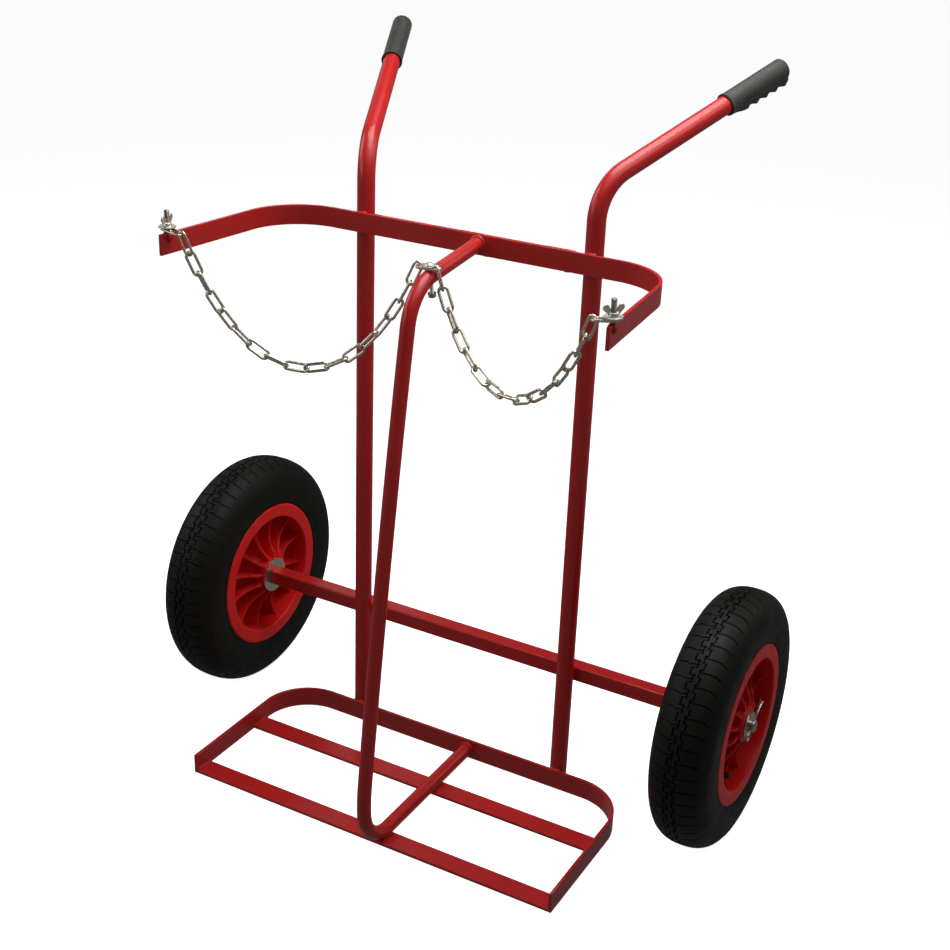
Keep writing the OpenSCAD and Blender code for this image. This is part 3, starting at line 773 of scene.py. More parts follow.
# ---------------------------------------------------------------------------
# Weld beads: a rippled, slightly uneven rope of metal laid along a joint
# ---------------------------------------------------------------------------
def bead(p, up, w, h, seed, pitch=2.1, closed=False, depth=0.8):
    p = np.asarray(p, float)
    seg = np.linalg.norm(np.diff(p, axis=0), axis=1)
    total = seg.sum()
    cum = np.concatenate([[0], np.cumsum(seg)])
    n = max(10, int(total / (0.28 if total < 80 else 0.4)))
    s = np.linspace(0, total, n, endpoint=not closed)
    q = np.stack([np.interp(s, cum, p[:, k]) for k in range(3)], 1)
    ups = np.asarray(up, float)
    ups = np.tile(ups, (n, 1)) if ups.ndim == 1 else np.stack([np.interp(s, cum, ups[:, k]) for k in range(3)], 1)
    t = np.gradient(q, axis=0)
    if closed:
        t = np.roll(q, -1, 0) - np.roll(q, 1, 0)
    t /= np.linalg.norm(t, axis=1)[:, None]
    ups = ups - t * (ups * t).sum(1)[:, None]
    ups /= np.linalg.norm(ups, axis=1)[:, None]
    b = np.cross(t, ups)
    m = 18
    ang = np.linspace(0, 2 * math.pi, m, endpoint=False)
    ca, sa = np.cos(ang), np.sin(ang)
    if closed:
        k = max(2, round(total / pitch))
        pitch = total / k
    rings = []
    for i in range(n):
        si = s[i]
        end = 1.0 if closed else min(1.0, math.sqrt(max(0.0, 1 - max(0.0, 1 - min(si, total - si) / (0.55 * w)) ** 2)) + 0.02)
        vary = 1 + 0.10 * float(wobble(si / 4.0, seed)) + 0.07 * float(wobble(si / 1.7, seed + 5))
        if closed:
            vary = 1 + 0.10 * math.sin(2 * math.pi * si / total * 2 + seed) + 0.05 * math.sin(2 * math.pi * si / total * 7 + seed * 2)
        ph = (si + 0.30 * w * np.abs(ca) ** 1.5) / pitch + 0.25 * (0 if closed else float(wobble(si / 7.0, seed + 9)))
        rip = 1 + 0.085 * np.abs(np.sin(math.pi * ph)) ** 0.6 - 0.03
        hh = np.where(sa > 0, h, depth * h)
        rings.append(q[i] + end * vary * rip[:, None] * (0.5 * w * ca[:, None] * b[i] + (hh * sa)[:, None] * ups[i]))
    g = Geo()
    f = grid_faces(n, m, wrap_i=closed, wrap_j=True)
    if not closed:
        f.append(list(range(m)))
        f.append(list(range((n - 1) * m, n * m))[::-1])
    g.add(np.concatenate(rings), f, flip=True)
    return g


def join(*gs):
    g = Geo()
    for q in gs:
        g.add(np.concatenate(q.v), q.f)
    return g


welds = []
for s in (-1, 1):
    x0 = s * UX
    # the hoop and the base bar against the front of each upright
    for z0, z1, sd in ((HOOP_TOP - HOOP_H + 1, HOOP_TOP - 0.5, 1), (3.0, BASE_H - 0.5, 2)):
        for q in (-1, 1):
            x = x0 + q * 8.2
            y = OY + BAR_Y + 1.6
            welds.append(bead([[x, y, z0], [x, y, (z0 + z1) / 2], [x, y, z1]], (q * 0.85, 0.5, 0), 5.4, 1.6, 10 * sd + s + q * 3))
        zt = z1 + 0.4
        arc = [[x0 + (UR + 0.4) * math.sin(rad(a)), OY - (UR + 0.4) * math.cos(rad(a)), zt] for a in np.linspace(-38, 38, 9)]
        ups = [[0.5 * math.sin(rad(a)), -0.5 * math.cos(rad(a)), 0.85] for a in np.linspace(-38, 38, 9)]
        welds.append(bead(arc, np.array(ups), 5.0, 1.5, 40 * sd + s))
    # the axle beam against the back of each upright
    for q in (-1, 1):
        x = x0 + q * 8.4
        y = OY - BAR_Y - 1.5
        welds.append(bead([[x, y, AX_Z - 11.5], [x, y, AX_Z], [x, y, AX_Z + 11.5]], (q * 0.85, -0.5, 0), 5.2, 1.6, 70 + s + q * 3))
    for z, up in ((AX_Z + 12.6, 0.9), (AX_Z - 12.6, -0.9)):
        arc = [[x0 + (UR + 0.2) * math.sin(rad(a)), OY + (UR + 0.2) * math.cos(rad(a)), z] for a in np.linspace(-30, 30, 7)]
        ups = [[0.3 * math.sin(rad(a)), 0.3 * math.cos(rad(a)), up] for a in np.linspace(-30, 30, 7)]
        welds.append(bead(arc, np.array(ups), 4.6, 1.3, 90 + s + up))
    # the ends of the cross bars against the sides of the tray
    for y_rear, sd in ((BASE_H - BASE_FRONT, 3), (-BASE_MID, 4)):
        xi = s * (BASE_SIDE - 5.0) - s * 0.5
        welds.append(bead([[xi, OY + y_rear - BASE_H + 2, 5.4], [xi, OY + y_rear - BASE_H / 2, 5.4], [xi, OY + y_rear - 2, 5.4]], (-s * 0.7, 0, 0.7), 4.2, 1.4, 120 + sd + s))

# the divider against the hoop and against the back of the tray
end = DIVIDER[-1]
tdir = DIVIDER[-1] - DIVIDER[-2]
tdir /= np.linalg.norm(tdir)


def ring_bead(c, r, y, w, h, seed, a0=0, a1=360, out_y=-1, flat=1.0):
    full = abs(a1 - a0) >= 360
    k = 48
    aa = np.linspace(a0, a1, k, endpoint=not full)
    p = [[c[0] + r * math.cos(rad(a)), y, c[2] + flat * r * math.sin(rad(a))] for a in aa]
    u = [[0.7 * math.cos(rad(a)), 0.7 * out_y, 0.7 * math.sin(rad(a))] for a in aa]
    if full:
        p.append(p[0])
        u.append(u[0])
        return bead(p, np.array(u), w, h, seed, closed=True)
    return bead(p, np.array(u), w, h, seed)


y_face = OY + BAR_Y - 5
welds.append(ring_bead(end, DIV_R + 0.7, y_face - 0.7, 5.0, 1.6, 201, flat=1.0 / max(0.7, abs(tdir[1]))))
foot = DIVIDER[0]
welds.append(ring_bead(foot, DIV_R + 0.6, y_face - 0.7, 4.8, 1.6, 207, -20, 200))
# the divider lying on the two cross bars
for y_rear in (BASE_H - BASE_FRONT, -BASE_MID):
    for q in (-1, 1):
        x = DIV_X + q * 6.6
        y0, y1 = OY + y_rear - BASE_H + 3, OY + y_rear - 3
        welds.append(bead([[x, y0, 6.0], [x, (y0 + y1) / 2, 6.0], [x, y1, 6.0]], (q * 0.7, 0, 0.6), 4.8, 1.5, 230 + q + y_rear))
emit("weld_beads", join(*welds), PAINT, "frame", sharp=60)

# the strap is tacked to the hoop: filled stretches on top, two small tacks below
fills = []
for x0, x1, sd in ((-19, 25, 1), (112, 165, 2), (-170, -150, 3)):
    y = OY + BAR_Y
    fills.append(bead([[x0, y, HOOP_TOP - 0.7], [(x0 + x1) / 2, y, HOOP_TOP - 0.5], [x1, y, HOOP_TOP - 0.7]], (0, 0.1, 1), 6.5, 1.5, 300 + sd, 2.4))
for x in (26, 154):
    y = OY + BAR_Y
    fills.append(bead([[x - 5, y, HOOP_TOP - HOOP_H + 0.5], [x, y, HOOP_TOP - HOOP_H + 0.3], [x + 5, y, HOOP_TOP - HOOP_H + 0.5]], (0, -0.2, -1), 6.0, 2.2, 310 + x))
emit("strap_tacks", join(*fills), PAINT, "frame", sharp=60)

# ---------------------------------------------------------------------------
# Grips
# ---------------------------------------------------------------------------
GRIP_LEN, GRIP_R, PITCH_G = 122.0, 15.8, 19.5


def ridge_height(z):
    """How far the finger ridges on the underside stand over the body, along the grip from its mouth."""
    k = [(0.0, -1.5), (10.0, -0.6), (16.0, 1.0), (23.0, 3.1)]
    for i in range(5):
        c, h = 33 + PITCH_G * i, 0.5 * i
        k += [(c - 3.2, 4.3 + h), (c, 4.9 + h), (c + 1.6, 4.5 + h), (c + 5, 1.3 + h), (c + 9, 1.5 + h)]
    k[-1] = (c + 7.0, 3.2)
    k += [(c + 9.2, -3.0), (c + 12, -12.0)]
    fine = np.linspace(z - 1.6, z + 1.6, 17)
    wt = np.exp(-((fine - z) / 0.75) ** 2)
    return float(np.sum(np.interp(fine, [q[0] for q in k], [q[1] for q in k]) * wt) / np.sum(wt))


def grip(s):
    z1 = HANDLE + 8
    z0 = z1 - GRIP_LEN
    nt = 168
    th = np.linspace(0, 2 * math.pi, nt, endpoint=False)       # 90 degrees is the underside
    off = np.abs((th - math.pi / 2 + math.pi) % (2 * math.pi) - math.pi)   # angle from the underside
    zz = [0.0, 0.35, 0.9, 1.5, 2.2, 3.2, 4.4, 5.6, 7.0] + list(np.arange(8.0, 115.6, 0.75))
    end0 = zz[-1]
    turn = [8, 16, 24, 32, 40, 48, 56, 63, 70, 76, 81, 85, 88]
    prof = [(z, GRIP_R + 0.9 * math.exp(-(max(z - 1.2, 0) / 2.4) ** 2)) for z in zz]
    prof += [(end0 + (GRIP_LEN - end0) * math.sin(rad(q)), GRIP_R * math.cos(rad(q)) ** 0.78) for q in turn]
    rings = []
    for z, body in prof:
        flat = GRIP_R + ridge_height(z)
        if z > end0:
            flat = min(flat, body + 4.2)
        pad = smin(flat / np.maximum(np.cos(np.minimum(off, 1.45)), 0.05), 8.9 / np.maximum(np.sin(np.minimum(off, 1.5)), 0.02), 1.6)
        r = smax(np.full(nt, body), np.where(off < 1.2, pad, 0.0), 1.0) if flat > body - 1.5 else np.full(nt, body)
        rings.append(np.stack([r * np.cos(th), r * np.sin(th), np.full(nt, z0 + z)], 1))
    # mouth: a thick rounded lip that turns in to the pipe
    inner = []
    for r, z in ((GRIP_R + 0.5, -0.25), (GRIP_R - 0.4, -0.45), (UR + 1.0, -0.3), (UR + 0.35, 0.3), (UR + 0.1, 1.2), (UR + 0.05, 8.0)):
        inner.append(np.stack([r * np.cos(th), r * np.sin(th), np.full(nt, z0 + z)], 1))
    rings = inner[::-1] + rings
    v = np.concatenate(rings)
    f = grid_faces(len(rings), nt, wrap_j=True)
    top = len(rings) - 1
    f.append(list(range(top * nt, (top + 1) * nt))[::-1])
    f.append(list(range(nt)))
    g = Geo()
    g.add(v, f, handle_frame(s), flip=True)
    return g


for s, side in ((-1, "left"), (1, "right")):
    emit(f"{side}_grip_rubber", grip(s), GRIP, "frame", [f"{side}_grip"], sharp=50)

# ---------------------------------------------------------------------------
# Wheels
# ---------------------------------------------------------------------------
WX, WR, TW = 439.0, 200.0, 92.7
HUB_IN, HUB_OUT = 47.7, 40.7
AXLE = T(0, AX_Y + OY, AX_Z)


def wheel_frame(s):
    return AXLE @ PAIR(s) @ T(WX, 0, 0) @ RY(90)


PITCHES = 56


SIPE_L, SIPE_R, SIPE_W, WALL = 0.0, 0.455, 0.045, 0.0135
LEFT_STEP = (0.162, 0.238, 0.662, 0.738)         # where the left zigzag groove steps across, along one pitch
RIGHT_STEP = (0.262, 0.338, 0.762, 0.838)


def tread_lines():
    """Positions along one pitch of the tread, 0 to 1, with close pairs at the walls of the cuts."""
    p = [0.085, 0.125, 0.206, 0.306, 0.385, 0.545, 0.603, 0.706, 0.806, 0.905]
    for c in (SIPE_L, SIPE_R):
        p += [c - SIPE_W, c - SIPE_W + WALL, c + SIPE_W - WALL, c + SIPE_W]
    for c in LEFT_STEP + RIGHT_STEP:
        p += [c, c + WALL]
    return sorted(x % 1.0 for x in p)


def stepped(f, at, values):
    """A crenellated line: values[k] holds after step k, with a wall one WALL long between them."""
    x, y = [0.0], [values[0]]
    for c, v in zip(at, values[1:]):
        x += [c, c + WALL]
        y += [y[-1], v]
    return np.interp(f, x + [1.0], y + [y[-1]])


def tyre(s):
    hw, rc, b = TW / 2, 153.0, 47.0
    lines = tread_lines()
    nl = len(lines)
    ph = np.array([k + x for k in range(PITCHES) for x in lines])
    nr = len(ph)
    fr = ph % 1.0
    d = np.minimum(np.abs(fr - SIPE_L), 1 - np.abs(fr - SIPE_L))
    d2 = np.abs(fr - SIPE_R)
    cut_l = np.clip((SIPE_W - d) / WALL, 0, 1)   # 1 on the floor of a left cut, 0 outside it
    cut_r = np.clip((SIPE_W - d2) / WALL, 0, 1)
    ramp = fr - 0.5
    # walls of the two zigzag grooves
    AL = stepped(fr, (LEFT_STEP[0], LEFT_STEP[3]), (-5.2, -11.5, -5.2)) - 0.9 * ramp * ((fr > LEFT_STEP[0]) & (fr <= LEFT_STEP[3] + 1e-6))
    AR = stepped(fr, (LEFT_STEP[0], LEFT_STEP[1], LEFT_STEP[2], LEFT_STEP[3]), (-2.7, -1.3, -8.9, -1.3, -2.7))
    BL = stepped(fr, (RIGHT_STEP[0], RIGHT_STEP[1], RIGHT_STEP[2], RIGHT_STEP[3]), (5.2, 0.4, 1.7, 0.4, 5.2))
    BR = stepped(fr, (RIGHT_STEP[1], RIGHT_STEP[2]), (7.8, 4.3, 7.8))
    groove = 3.8
    cols = []                                    # (position across, depth)
    zero = np.zeros(nr)

    def sup(t):
        c, q = math.cos(rad(t)), math.sin(rad(t))
        return rc + b * math.copysign(abs(q) ** 0.8, q), hw * math.copysign(abs(c) ** 0.8, c)
    fade = lambda a: float(np.clip((35.0 - abs(a)) / 4.0, 0, 1)) ** 0.7
    for a in (-38.5, -36, -33.5, -31, -28, -24.5, -21, -17.5, -14):
        cols.append((np.full(nr, float(a)), 3.4 * cut_l * fade(a)))
    cols.append((0.5 * (-14 + AL), 3.4 * cut_l))
    cols.append((AL, 3.4 * cut_l))
    cols.append((AL + 0.28, np.full(nr, groove)))
    cols.append((AR - 0.28, np.full(nr, groove)))
    cols.append((AR, zero))
    for k in (0.34, 0.66):
        cols.append((AR * (1 - k) + BL * k, zero))
    cols.append((BL, zero))
    cols.append((BL + 0.28, np.full(nr, groove)))
    cols.append((BR - 0.28, np.full(nr, groove)))
    cols.append((BR, 3.4 * cut_r))
    cols.append((0.5 * (BR + 11), 3.4 * cut_r))
    for a in (11, 14, 17.5, 21, 24.5, 28, 31, 33.5, 36, 38.5):
        cols.append((np.full(nr, float(a)), 3.4 * cut_r * fade(a)))
    th0 = rad(103.7)
    step = 2 * math.pi / PITCHES

    def bow(a):
        """The cross cuts wave a little along the tyre, and curl at the right shoulder."""
        a = np.asarray(a, float)
        right = -0.30 * np.clip(1 - ((a - 19) / 10) ** 2, 0, 1) + 1.3 * np.clip((a - 27) / 10, 0, 1) ** 1.5
        left = 0.42 * np.clip(1 - ((a + 15) / 6) ** 2, 0, 1) - 0.30 * np.clip(1 - ((a + 25) / 7) ** 2, 0, 1) - 0.5 * np.clip((-a - 29) / 8, 0, 1)
        return np.radians(np.where(a > 0, right, left))

    def place(r, u, th):
        # theta runs from the back of the cart over the top
        return np.stack([r * np.sin(th) * -1.0, r * np.cos(th), u], 1)
    th_row = th0 + step * ph
    fine = []
    for a, dep in cols:
        aa = np.clip(np.abs(a), 0, hw - 0.01)
        rr = rc + b * (1 - (aa / hw) ** 2.5) ** 0.4
        da = 0.05
        r2 = rc + b * (1 - (np.clip(aa + da, 0, hw - 0.001) / hw) ** 2.5) ** 0.4
        slope = (r2 - rr) / da
        nrm = 1 / np.sqrt(1 + slope ** 2)
        nu = -slope * nrm * np.sign(a)
        fine.append(place(rr - dep * nrm, a - dep * nu, th_row + bow(a)))
    # sidewalls and lining, on fewer lines: rounded beads, a smooth wall, fine rings below the shoulder
    low = [(121.8, 40.7), (124.6, 41.6), (126.6, 43.0), (128.2, 44.1), (130.0, 44.5), (131.6, 44.45), (132.6, 44.15), (134.0, 44.5),
           (137.0, 45.1), (141.0, 45.7), (146.0, 46.15), (150.0, 46.32)]
    wall = [(153.0, hw)] + [sup(t) for t in (4, 8, 11.5, 14.5)]
    r = wall[-1][0] + 0.8
    while r < 182.3:
        u = hw * (1 - ((r - rc) / b) ** 2.5) ** 0.4
        k = ((r - 170.0) / 2.6) % 1.0
        on = 1.0 if 170.0 < r < 180.5 else 0.0
        lift = 0.42 * on * (0.5 - 0.5 * math.cos(2 * math.pi * k))
        wall.append((r + 0.35 * lift, u + 0.9 * lift - 0.10 * on))
        r += 0.65
    sel = [i for i in range(nl) if i % 6 == 0]
    rows = np.array([k * nl + i for k in range(PITCHES) for i in sel])
    nc = len(rows)
    lining = [(119.0, 39.6), (112.0, 39.2), (108.0, 37.0), (112.0, 33.0), (135.0, 37.0), (155.0, 38.5), (178.0, 33.0), (188.0, 18.0)]
    loop = [(r, u) for r, u in reversed(low + wall)] + lining + [(190.0, 0.0)] + [(r, -u) for r, u in reversed(lining)] + [(r, -u) for r, u in low + wall]
    b0, b1 = float(bow(38.5)), float(bow(-38.5))
    coarse = []
    for k, (r, u) in enumerate(loop):
        q = min(1.0, max(0.0, (k - len(low + wall)) / (2 * len(lining) + 1)))
        coarse.append(place(np.full(nc, r), np.full(nc, u), th_row[rows] + b0 * (1 - q) + b1 * q))
    v = np.concatenate([np.stack(fine, 0).reshape(-1, 3), np.stack(coarse, 0).reshape(-1, 3)])
    f = grid_faces(len(fine), nr, wrap_j=True)
    base = len(fine) * nr
    f += [[i + base for i in q] for q in grid_faces(len(coarse), nc, wrap_j=True)]
    last = (len(fine) - 1) * nr
    end = base + (len(coarse) - 1) * nc
    for j in range(nc):
        j2 = (j + 1) % nc
        run_ = [int(i) % nr for i in range(rows[j], rows[j2] + (nr if j2 == 0 else 0) + 1)]
        f.append([last + run_[0], base + j, base + j2] + [last + i for i in reversed(run_[1:])])
        f.append([end + j] + run_ + [end + j2])
    g = Geo()
    # the same tyre on both sides: the left one is turned half round, not mirrored
    m = AXLE @ T(WX, 0, 0) @ RY(90) if s > 0 else AXLE @ RZ(180) @ T(WX, 0, 0) @ RY(90)
    g.add(v, f, m)
    return g


def rib_lines(t_half=1.9):
    """(distance from the rib's middle, kind, value) for half a sector, then plain lines up to the next half."""
    return [(0.0, "top", 0.0), (t_half - 1.0, "top", 0.0), (t_half - 0.45, "top", -0.12), (t_half - 0.12, "top", -0.5), (t_half, "top", -1.1), (t_half + 0.04, "top", -2.2),
            (t_half + 0.30, "disc", 5.0), (t_half + 0.40, "disc", 3.0), (t_half + 0.75, "disc", 1.6), (t_half + 1.4, "disc", 0.65), (t_half + 2.3, "disc", 0.15), (t_half + 3.0, "disc", 0.0)]


def rim_face(hub, flange, scoop, scoop_r=62.0):
    """Rings of one face: profile from the hub bore to the bead seat."""
    pr = [(15.15, hub - 0.6), (15.5, hub - 0.15), (16.1, hub), (20.0, hub), (25.6, hub), (26.9, hub - 0.25), (27.7, hub - 0.9), (28.0, hub - 2.0), (28.1, hub - 4.0)]
    u0 = 31.0
    pr += [(28.3, u0 + 1.5), (28.8, 29.6), (30.0, 27.0), (32.0, 23.9), (34.5, 21.0), (37.0, 18.6), (40.0, 16.3), (43.5, 14.1), (47.0, 12.3), (51.0, 10.7), (55.0, 9.4),
           (60.0, 8.2), (65.0, 7.2), (70.0, 6.4), (75.0, 5.8), (80.0, 5.3), (85.0, 4.9), (90.0, 4.6), (94.0, 4.4), (97.5, 4.4), (99.8, 4.8), (101.3, 5.8), (102.2, 7.5), (102.5, 10.0),
           (102.6, 15.0), (102.7, 20.0), (102.75, 24.0), (102.8, 28.0), (102.85, 32.0), (102.9, 37.0), (103.0, flange - 2.6), (103.15, flange - 1.3), (103.7, flange - 0.45), (104.7, flange - 0.05), (106.0, flange),
           (112.0, flange), (118.0, flange), (122.4, flange), (123.9, flange - 0.15), (125.0, flange - 0.65), (125.6, flange - 1.5), (125.5, flange - 2.2), (124.7, flange - 2.9),
           (122.0, flange - 3.8), (119.0, flange - 4.2), (110.0, flange - 4.3)]
    return pr


def rim(s):
    half = math.pi / 12
    lines = rib_lines()
    fr_rest = [0.25, 0.5, 0.75, 1.0]
    per = []                                       # (sign, line or fraction)
    for ln in lines:
        per.append(("d", ln))
    for q in fr_rest[:-1]:
        per.append(("f", q))
    # angles of one sector from -half to +half
    seq = [("f", 1.0, -1)] + [(k, v, -1) for k, v in reversed(per[1:])] + [("d", lines[0], 1)] + [(k, v, 1) for k, v in per[1:]]
    dmax = lines[-1][0]

    def face(hub, flange, scoop_u):
        pr = np.array(rim_face(hub, flange, scoop_u))
        rows = []
        for sector in range(12):
            for kind, val, sg in seq:
                r, u = pr[:, 0].copy(), pr[:, 1].copy()
                a_d = np.arcsin(np.clip(dmax / r, 0, math.sin(half) * 0.98))
                if kind == "d":
                    dist, mode, off = val
                    th = np.arcsin(np.clip(dist / r, 0, math.sin(half) * 0.98 * dist / dmax))
                else:
                    th = a_d + (half - a_d) * val
                    dist, mode, off = None, None, None
                disc = np.interp(r, pr[8:34, 0], pr[8:34, 1])
                if mode:
                    q = np.clip(scoop_r_sq - (r - 80.0) ** 2, 0, None)
                    h = np.minimum(scoop_u - np.sqrt(q), hub - 3.2)
                    want = h + off if mode == "top" else np.minimum(disc + off, h - 2.2)
                    zone = (r > 27.0) & (r < 103.3)
                    u = np.where(zone, np.maximum(u, want), u)
                rows.append((r, u, sg * th + sector * 2 * half))
        return rows
    scoop_r_sq = 62.0 ** 2
    a0 = rad(16.0)
    out = face(HUB_OUT, 44.4, 86.0)
    inn = face(HUB_IN, 44.4, 89.0)
    rings = []
    for (r1, u1, t1), (r2, u2, t2) in zip(out, inn):
        x1 = np.stack([r1 * np.cos(t1 + a0), r1 * np.sin(t1 + a0), u1], 1)
        x2 = np.stack([r2 * np.cos(t2 + a0), r2 * np.sin(t2 + a0), -u2], 1)[::-1]
        tm = float(np.mean([t1[-1], t2[-1]])) + a0
        well = np.array([[107.0 * math.cos(tm), 107.0 * math.sin(tm), 39.0], [107.0 * math.cos(tm), 107.0 * math.sin(tm), -39.0]])
        rings.append(np.concatenate([x1, well, x2]))
    n = len(rings[0])
    g = Geo()
    g.add(np.concatenate(rings), grid_faces(len(rings), n, wrap_i=True, wrap_j=True), wheel_frame(s), flip=False)
    return g


VALVE_A, VALVE_R = -26.3, 82.5
for s, side in ((-1, "left"), (1, "right")):
    w = f"{side}_wheel"
    emit(f"{side}_tyre_rubber", tyre(s), TYRE, w, [f"{side}_tyre"], sharp=42)
    emit(f"{side}_rim_moulding", rim(s), RIM, w, [f"{side}_rim"], sharp=48)
    # steel sleeve in the hub, and the bush ends in it
    sleeve = lathe(edge_round([[12.6, 0.2 - HUB_IN], [15.05, 0.2 - HUB_IN], [15.05, HUB_OUT - 0.2], [12.6, HUB_OUT - 0.2]], 0.3, 2), 64, m=wheel_frame(s))
    emit(f"{side}_hub_sleeve", sleeve, STEEL, w, [f"{side}_hub_tube"])
    bushes = Geo()
    for z in (0.2 - HUB_IN, HUB_OUT - 22.2):
        q = lathe(edge_round([[10.1, z], [12.5, z], [12.5, z + 22], [10.1, z + 22]], 0.4, 2), 64, m=wheel_frame(s))
        bushes.add(np.concatenate(q.v), q.f)
    emit(f"{side}_bushes", bushes, NYLON, w, [f"{side}_hub_bushes"])
    # valve: a rubber stem that turns out of the barrel, and its fluted cap
    vf = wheel_frame(s) @ RZ(VALVE_A)
    path = [(104.5, 12.0), (98.0, 12.0)] + [(98.0 - 5.5 - 10.0 * math.sin(rad(a)), 12.0 + 10.0 * (1 - math.cos(rad(a)))) for a in range(10, 91, 10)]
    path = [(104.5, 12.0), (99.0, 12.0), (96.0, 12.0)] + [(92.5 - 10.0 * math.sin(rad(a)), 12.0 + 10.0 * (1 - math.cos(rad(a)))) for a in range(0, 91, 9)] + [(82.5, 24.6)]
    p3 = apply(vf, [(r, 0, u) for r, u in path])
    sc = np.interp(np.arange(len(p3)), [0, 1.5, 3, len(p3) - 1], [5.6, 4.6, 4.0, 3.7])
    side_v = vf[:3, 1]
    stem = sweep(p3, circle(1.0, 28), side_v, scale=sc)
    emit(f"{side}_valve_rubber", stem, BLACK, w, [f"{side}_valve_stem"], sharp=60)
    ang = np.linspace(0, 2 * math.pi, 96, endpoint=False)
    flute = 0.22 * np.abs(np.sin(ang * 12)) ** 0.7
    rows = []
    for r, z, k in ((2.8, 24.4, 0), (3.9, 24.2, 0), (4.2, 24.5, 0), (4.2, 25.6, 0), (4.4, 26.0, 1), (4.45, 27.0, 1), (4.4, 31.8, 1), (4.2, 32.3, 1), (4.1, 32.8, 0), (3.8, 33.6, 0), (3.2, 34.3, 0), (2.2, 34.55, 0), (1.0, 34.6, 0), (0.01, 34.6, 0)):
        rr = r - (flute if k else 0)
        rows.append(np.stack([rr * np.cos(ang), rr * np.sin(ang), np.full(96, z)], 1))
    cap = Geo()
    ff = grid_faces(len(rows), 96, wrap_j=True)
    ff.append(list(range(96)))
    ff.append(list(range((len(rows) - 1) * 96, len(rows) * 96))[::-1])
    cap.add(np.concatenate(rows), ff, vf @ T(VALVE_R, 0, 0), flip=True)
    emit(f"{side}_cap", cap, CAP, w, [f"{side}_valve_cap"], sharp=40)
    # washers either side of the wheel
    q = lathe(washer_profile(60, 20.4, 2.8, 0.5), 96, m=AXLE @ PAIR(s) @ T(BEAM_HALF + 0.1, 0, 0) @ RY(90))
    emit(f"{side}_washer_inner", q, ZINC, "frame", [f"{side}_inner_washer"])
    q = lathe(washer_profile(42, 20.4, 3.0, 0.5), 96, m=AXLE @ PAIR(s) @ T(WX + HUB_OUT + 0.4, 0, 0) @ RY(90))
    emit(f"{side}_washer_outer", q, ZINC, "frame", [f"{side}_outer_washer"])
    # split pin: two half-round legs, closed at the eye and spread at the tips
    pf = AXLE @ T(s * 487.0, 0, 0) @ RX(40 - 90)
    pin = Geo()
    eye = [(0.0, 1.05, -13.0)]
    loop = []
    for a in np.linspace(-62, 242, 40):
        loop.append((0.0, 6.0 * math.cos(rad(a)), -18.5 - 6.0 * math.sin(rad(a)) * 1.0))
    leg1 = [(0, 1.1, 12.0), (0, 1.1, 4.0), (0, 1.1, -4.0), (0, 1.1, -10.0), (0, 1.6, -12.4)]
    leg2 = [(0, -1.6, -12.4), (0, -1.1, -10.0), (0, -1.1, -4.0), (0, -1.1, 4.0), (0, -1.1, 12.0)]
    tip1 = [(0, 1.1 - 33 * math.sin(rad(13)) * k * -1 * -1, 12 + 33 * math.cos(rad(13)) * k) for k in (1.0, 0.8, 0.6, 0.4, 0.2)]
    tip1 = [(0, 1.1 + (33 * k) * math.sin(rad(13)) * (0.4 + 0.6 * k), 12 + 33 * k * math.cos(rad(13))) for k in (0.985, 0.8, 0.6, 0.4, 0.2)]
    tip2 = [(0, -1.1 - (30 * k) * math.sin(rad(13)) * (0.4 + 0.6 * k), 12 + 30 * k * math.cos(rad(13))) for k in (0.2, 0.4, 0.6, 0.8, 0.985)]
    top = [(0, 6.0 * math.sin(rad(a)), -18.5 + 6.0 * math.cos(rad(a))) for a in np.linspace(22, 338, 36)]
    wire = tip1 + leg1 + top + leg2 + tip2
    half_round = [(1.55 * math.cos(rad(a)), 1.25 * math.sin(rad(a))) for a in range(0, 360, 18)]
    q = sweep(apply(pf, wire), half_round, pf[:3, 0], bevel=0.4)
    emit(f"{side}_pin", q, ZINC, "frame", [f"{side}_split_pin"], sharp=50)

# axle rod with bevelled ends
rod = lathe([(0, -492), (7.6, -492), (8.6, -491.9), (9.9, -490.6), (10, -490.2), (10, -489), (10, -380), (10, 0), (10, 380), (10, 489), (10, 490.2), (9.9, 490.6), (8.6, 491.9), (7.6, 492), (0, 492)], 64, False, AXLE @ RY(90))
emit("rod", rod, STEEL, "frame", ["axle_rod"])

# ---------------------------------------------------------------------------
# Studs, washers and wing nuts
# ---------------------------------------------------------------------------
STUD_BACK = 14.75
LINK_TILT = 8.0
LINK_Z = HOOP_TOP + 4.8
WASHER_Z = LINK_Z + 3.35
NUT_Z = WASHER_Z + 1.65


def hoop_arm_frame(s):
    return T(0, OY, 0) @ PAIR(s) @ T(HOOP_HALF, BAR_Y - HOOP_R, 0) @ RZ(HOOP_A0) @ T(HOOP_R - 2.5, 0, 0)


def stud_frame(s):
    return hoop_arm_frame(s) @ T(0, STUD_BACK - HOOP_ARM, 0) @ RZ(-HOOP_A0)


